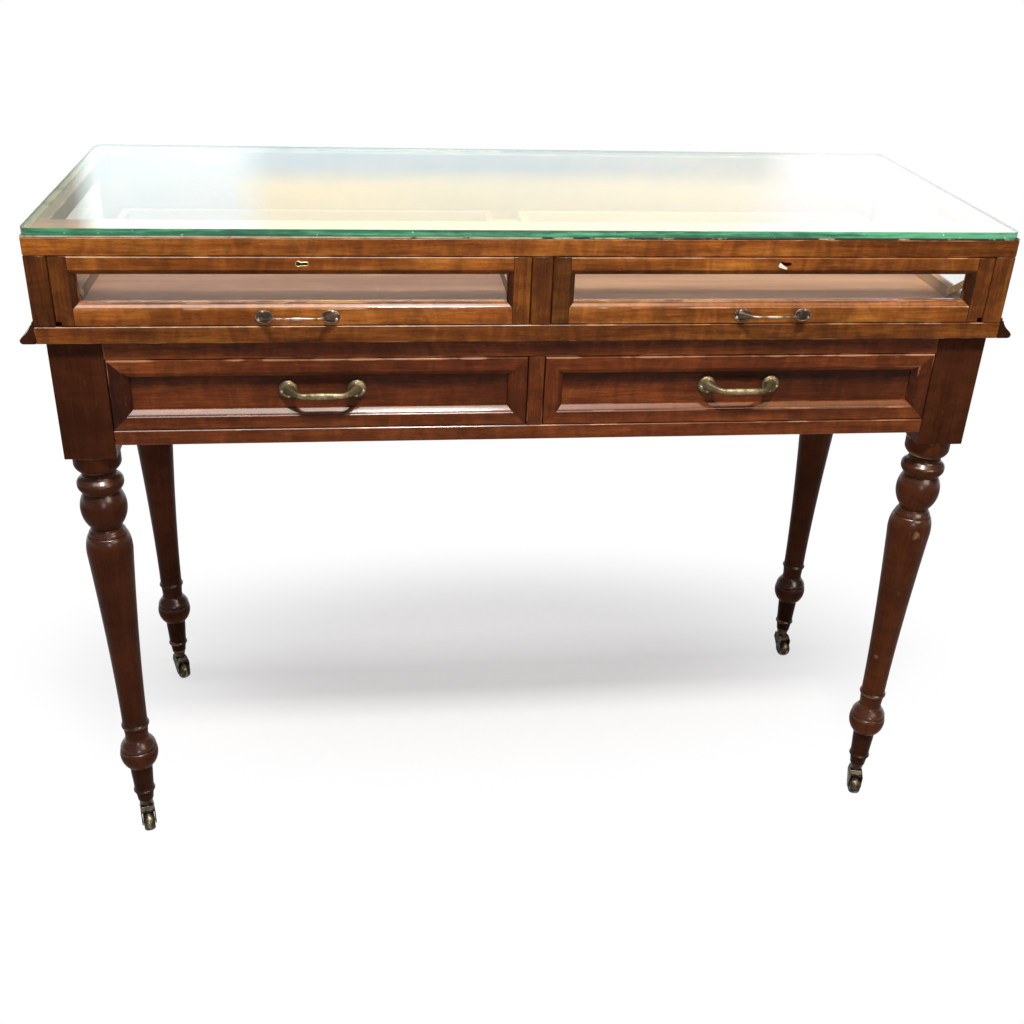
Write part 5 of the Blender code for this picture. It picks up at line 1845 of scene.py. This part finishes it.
@dataclass
class Castor:
    """One castor: horn with its stem, crown, cheeks and axle, and the wheel between the cheeks."""

    corner: str
    heading: float
    foot: float = 0.054
    radius: float = 0.015
    width: float = 0.0168
    tread_drop: float = 0.0040
    trail: float = 0.0105
    cheek: float = 0.0017
    clearance: float = 0.0005
    eye: float = 0.0055
    stem: float = 0.0112
    waist: float = 0.0086
    lip: float = 0.0005
    mouth: float = 0.0125
    crown: Point = (0.0322, 0.0412)
    pintle: Point = (0.004, 0.020)
    axle: float = 0.0024
    play: float = 0.0001
    neck_curve: float = 0.8
    fork_fade: float = 0.0015
    fork_wear: float = 0.4
    hub: float = 0.006
    hub_fillet: float = 0.001
    dish: float = 0.0012
    rim: Point = (0.0022, 0.0010)
    round_over: float = 0.0003
    steps: int = 12
    # Brightness along the tread's middle: partly wear, partly painted highlight.
    tread_wear_and_highlight: float = 0.55
    side_wear: float = 0.05

    def build(self) -> None:
        """Make the horn and the wheel."""
        low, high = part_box(f"leg_{self.corner}")
        place = Vector(((low.x + high.x) / 2, (low.y + high.y) / 2, 0))
        turn = math.radians(self.heading)
        node = f"castor_horn_{self.corner}"
        horn = self.horn().move(place, turn)
        horn.piece(f"{node}_casting", f"castor_{self.corner}", "castor_brass", [Finish.CASTOR], node)
        hub = place + Vector((math.cos(turn), math.sin(turn), 0)) * self.trail + Vector((0, 0, self.radius))
        node = f"castor_wheel_{self.corner}"
        wheel = self.wheel().move(hub, turn)
        wheel.piece(f"{node}_disc", f"wheel_{self.corner}", "castor_brass", [Finish.CASTOR], node)

    def horn(self) -> Shape:
        """Make the horn about its swivel axis, with the wheel's place towards +X.

        Returns:
            The horn: pintle, tapered neck, fork and axle.
        """
        seat = self.foot - FIT
        low, high = self.crown
        top = self.waist + self.lip
        radius, length = self.pintle
        profile = [(self.foot + length, 0), (self.foot + length, radius), (seat, radius), (seat, self.stem)]
        for share in (index / self.steps for index in range(1, self.steps + 1)):
            neck = self.stem + (self.waist - self.stem) * share ** self.neck_curve
            profile.append((seat + (high - seat) * share, neck))
        profile += [((low + high) / 2, self.waist), ((low + high) / 2, 0)]
        horn = Shape.turned(profile, 40, reach=0)
        half_gap = self.width / 2 + self.clearance
        half = half_gap + self.cheek
        shoulder = self.trail + self.eye
        eye = arc((self.trail, self.radius), self.eye, -140, 30, 16)
        outline = [(-top, high), (-top, low)] + eye + [(shoulder, low), (top, high)]
        fork = Shape.bar(outline, Axis.Y, -half, half)
        for side in SIDES.values():
            fork.trim((0, side * top, high), (0, side * (high - low), half - top))
        fork.cut(Shape.box((-top - CUT, -half_gap, -CUT), (shoulder + self.eye + CUT, half_gap, low)))
        fork.cut(Shape.box((self.mouth, -half_gap, low - CUT), (shoulder + CUT, half_gap, high + CUT)))
        horn.absorb(fork.ease(FINE_EASE, self.fork_fade).spare(lambda place: self.fork_wear))
        end = half - FIT
        pin = Shape.turned([(end, 0), (end, self.axle), (-end, self.axle), (-end, 0)], 24, Axis.Y)
        horn.absorb(pin.move((self.trail, 0, self.radius)))
        return horn

    def wheel(self) -> Shape:
        """Make the wheel about its axle, which lies along Y.

        Returns:
            The wheel, with a rounded tread and dished sides.
        """
        half, bore = self.width / 2, self.axle + self.play
        edge, brim = self.radius - self.tread_drop, half - self.round_over
        side = [(half, bore), (half, self.hub), (half - self.dish, self.hub + self.hub_fillet),
                (half - self.dish, edge - self.rim[0]), (brim, edge - self.rim[1])]
        tread = []
        for out, across in arc((0, 0), 1.0, -90, 90, self.steps):
            tread.append((-across * brim, self.radius - self.tread_drop * (1 - out)))
        profile = side + tread + [(-z, r) for z, r in reversed(side)]
        return Shape.turned(profile + profile[:1], 56, Axis.Y, 0).weather(self.rolled_wear_and_highlight)

    def rolled_wear_and_highlight(self, place: Vector) -> Marks:
        """Tell how bright the wheel is drawn: rubbed by the floor, with a painted highlight along the tread's
        middle.

        Args:
            place: a place on the wheel, about its middle.

        Returns:
            Wear, tone, and grime with painted shade; the wear, most along the middle of the tread, is partly
            painted highlight.
        """
        tread = math.hypot(place.x, place.z) > self.radius - self.tread_drop
        across = abs(place.y) / (self.width / 2)
        return (self.tread_wear_and_highlight * (1.0 - across) if tread else self.side_wear), 0.0, 0.0


@dataclass(frozen=True)
class Lamp:
    """A soft rectangular studio lamp."""

    name: str
    place: Place
    target: Place
    size: Point
    power: float
    colour: Colour = (1.0, 1.0, 1.0)

    def build(self) -> None:
        """Hang the lamp and point it."""
        data = bpy.data.lights.new(self.name, "AREA")
        data.shape = "RECTANGLE"
        data.size, data.size_y = self.size
        data.energy = self.power
        data.color = self.colour
        lamp = link(self.name, data)
        lamp.location = self.place
        aim = Vector(self.target) - Vector(self.place)
        lamp.rotation_euler = aim.to_track_quat("-Z", "Y").to_euler()


def flat_sheet(name: str, size: Point, steps: int, material: bpy.types.Material, centre: Place = (0, 0, 0),
               tilt: float = 0.0) -> bpy.types.Object:
    """Make a flat sheet for the stage.

    Args:
        name: its name.
        size: its width and depth.
        steps: squares along each side.
        material: its finish.
        centre: its middle.
        tilt: its turn about X, in degrees.

    Returns:
        The sheet.
    """
    grid = bmesh.new()
    bmesh.ops.create_grid(grid, x_segments=steps, y_segments=steps, size=0.5)
    bmesh.ops.scale(grid, vec=(*size, 1.0), verts=grid.verts)
    turn = Matrix.Rotation(math.radians(tilt), 3, "X")
    bmesh.ops.rotate(grid, verts=grid.verts, cent=(0, 0, 0), matrix=turn)
    bmesh.ops.translate(grid, vec=centre, verts=grid.verts)
    mesh = bpy.data.meshes.new(name)
    grid.to_mesh(mesh)
    grid.free()
    mesh.materials.append(material)
    return link(name, mesh)


@dataclass(frozen=True)
class Card:
    """A pale glowing card that only polish, metal and glass mirror: it throws no light on anything."""

    name: str
    centre: Place
    size: Point
    tilt: float
    glow: float
    tints: Sequence[tuple[float, Colour]]
    low_tints: Sequence[tuple[float, Colour]] = ()
    change: Point = (0.0, 0.0)
    feather: float = 0.7

    def build(self) -> None:
        """Hang the card, with its tints running along X."""
        card = flat_sheet(self.name, self.size, 4, self.material(), self.centre, self.tilt)
        card.visible_camera = False
        card.visible_diffuse = False
        card.visible_shadow = False

    def material(self) -> bpy.types.Material:
        """Draw the glow, which fades towards the card's edges and may have its own tints lower down.

        Returns:
            The material.
        """
        s = Sketch(self.name)
        place = s.place()
        x, _, z = s.split(place)
        half, half_high = self.size[0] / 2, self.size[1] / 2
        along = s.add("MapRange", x, self.centre[0] - half, self.centre[0] + half).outputs[0]
        colour = s.ramp(along, self.tints)
        if self.low_tints:
            colour = s.blend(s.step(z, *self.change), s.ramp(along, self.low_tints), colour)
        glow = s.add("Emission", colour, self.glow).outputs[0]
        offset = s.add("VectorMath", place, self.centre, operation="SUBTRACT").outputs[0]
        out = s.add("VectorMath", s.stretched(offset, (1.0, 0.0, 0.0)), operation="LENGTH").outputs["Value"]
        up = s.add("VectorMath", s.stretched(offset, (0.0, 1.0, 1.0)), operation="LENGTH").outputs["Value"]
        share = s.calc("MULTIPLY", s.step(out, half * self.feather, half, 1.0, 0.0),
                       s.step(up, half_high * self.feather, half_high, 1.0, 0.0))
        clear = s.add("BsdfTransparent").outputs[0]
        s.feed(s.output.inputs["Surface"], s.add("MixShader", share, clear, glow).outputs[0])
        return s.material


@dataclass
class Studio:
    """White floor, pale panel behind, lamps, world and camera."""

    floor_size: float = 60.0
    floor_middle: Place = (0.0, 0.25, 0.0)
    floor_stretch: Place = (0.42, 1.0, 1.0)
    floor_fade: Rise = (0.12, 0.42, 0.5, 1.0)
    floor_greys: Point = (0.86, 0.90)
    world_light: float = 0.24
    camera_place: Place = (-0.21096, -1.60638, 1.30287)
    camera_turn: Place = (1.0765, -0.0352, -0.1140)
    lens: float = 41.898
    sensor: float = 36.0
    lamps: Sequence[Lamp] = (
        Lamp("key_lamp", (0.0, -1.45, 3.35), (0.0, 0.0, 0.7), (0.42, 0.32), 105.0, (1.0, 0.97, 0.92)),
        Lamp("overhead_lamp", (-0.75, 0.22, 3.1), (-0.75, 0.1, 0.8), (1.4, 0.30), 32.0),
        Lamp("front_fill_lamp", (0.6, -3.6, 1.9), (0.6, 0.0, 0.6), (2.4, 1.6), 10.0),
    )
    cards: Sequence[Card] = (
        Card("back_card", (0.7, 4.0, 1.9), (8.0, 2.6), 90.0, 2.1,
             ((0.0, (0.24, 0.26, 0.22)), (0.222, (0.26, 0.28, 0.23)), (0.236, (0.88, 1.0, 1.0)),
              (0.31, (0.90, 1.0, 1.0)), (0.335, (0.94, 0.91, 0.70)), (0.61, (0.95, 0.94, 0.78)),
              (0.65, (1.0, 1.0, 1.0))),
             ((0.0, (0.32, 0.34, 0.29)), (0.222, (0.34, 0.36, 0.31)), (0.236, (0.86, 1.0, 1.0)),
              (0.31, (0.88, 1.0, 1.0)), (0.335, (0.60, 0.75, 0.80)), (0.62, (0.68, 0.75, 0.72)),
              (0.65, (1.0, 1.0, 1.0))), (1.76, 1.88)),
        Card("high_front_card", (0.1, -1.25, 3.2), (4.2, 1.3), -25.0, 13.0,
             ((0.0, (1.0, 0.94, 0.86)), (0.45, (1.0, 0.93, 0.84)), (0.75, (0.42, 0.22, 0.11)),
              (1.0, (0.36, 0.20, 0.10)))),
        Card("right_card", (1.3, -1.9, 1.75), (1.4, 1.0), 60.0, 13.0,
             ((0.0, (1.0, 0.80, 0.62)), (1.0, (1.0, 0.80, 0.62)))),
        Card("low_front_card", (0.18, -3.2, 0.95), (0.8, 0.6), 90.0, 16.0,
             ((0.0, (0.85, 0.92, 1.0)), (1.0, (0.85, 0.92, 1.0)))),
    )

    def build(self) -> None:
        """Set the stage."""
        self.build_floor()
        self.build_world()
        for light in (*self.lamps, *self.cards):
            light.build()
        self.build_camera()

    def build_floor(self) -> None:
        """Lay the floor."""
        floor = flat_sheet("studio_floor", (self.floor_size, self.floor_size), 8, self.floor_material())

    def floor_material(self) -> bpy.types.Material:
        """Draw the floor, which keeps the table's shadow near by and fades to plain white further off.

        Returns:
            The material.
        """
        s = Sketch("white_floor")
        place = s.place()
        offset = s.add("VectorMath", place, self.floor_middle, operation="SUBTRACT").outputs[0]
        offset = s.stretched(offset, self.floor_stretch)
        radius = s.add("VectorMath", offset, operation="LENGTH").outputs["Value"]
        path = s.add("LightPath").outputs
        seen = s.calc("MAXIMUM", path["Is Camera Ray"], path["Is Glossy Ray"])
        seen = s.calc("MAXIMUM", seen, path["Is Transmission Ray"])
        share = s.calc("MULTIPLY", s.step(radius, *self.floor_fade), seen)
        dark, pale = ((grey, grey, grey) for grey in self.floor_greys)
        mottle = s.ramp(s.noise(place, scale=30.0, detail=3.0), ((0.3, dark), (0.7, pale)))
        s.finish(base_color=mottle, roughness=0.9, specular_ior_level=0.0)
        glow = s.add("Emission", (1.0, 1.0, 1.0), 1.0).outputs[0]
        s.feed(s.output.inputs["Surface"], s.add("MixShader", share, s.shader.outputs[0], glow).outputs[0])
        return s.material

    def build_world(self) -> None:
        """Set the world: white where it is seen, and a soft grey light on the table."""
        world = bpy.data.worlds.new("studio_world")
        world.use_nodes = True
        bpy.context.scene.world = world
        tree = world.node_tree
        back = tree.nodes["Background"]
        back.inputs["Color"].default_value = (1.0, 1.0, 1.0, 1.0)
        path = tree.nodes.new("ShaderNodeLightPath")
        seen = tree.nodes.new("ShaderNodeMath")
        seen.operation = "MAXIMUM"
        tree.links.new(path.outputs["Is Camera Ray"], seen.inputs[0])
        tree.links.new(path.outputs["Is Transmission Ray"], seen.inputs[1])
        level = tree.nodes.new("ShaderNodeMapRange")
        level.inputs["To Min"].default_value = self.world_light
        level.inputs["To Max"].default_value = 1.0
        tree.links.new(seen.outputs[0], level.inputs["Value"])
        tree.links.new(level.outputs[0], back.inputs["Strength"])

    def build_camera(self) -> None:
        """Set up the camera where the photograph was taken."""
        data = bpy.data.cameras.new("photo_camera")
        data.sensor_width = self.sensor
        data.lens = self.lens
        camera = link("photo_camera", data)
        camera.location = self.camera_place
        camera.rotation_euler = self.camera_turn
        bpy.context.scene.camera = camera


CASTOR_HEADINGS = {"front_left": 284.0, "front_right": 256.0, "back_left": 300.0, "back_right": 282.0}


def main() -> None:
    """Dress the whole table and set the stage."""
    logging.basicConfig(level=logging.INFO, format="%(name)s: %(message)s")
    bpy.context.scene.view_settings.view_transform = "Standard"
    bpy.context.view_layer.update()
    GlassTop().build()
    GlazedCase().build()
    for word in SIDES:
        DisplayDrawer(word).build()
        LowerDrawer(word).build()
    Frieze().build()
    for corner, heading in CASTOR_HEADINGS.items():
        TurnedLeg(corner).build()
        Castor(corner, heading).build()
    Studio().build()


if __name__ == "__main__":
    main()
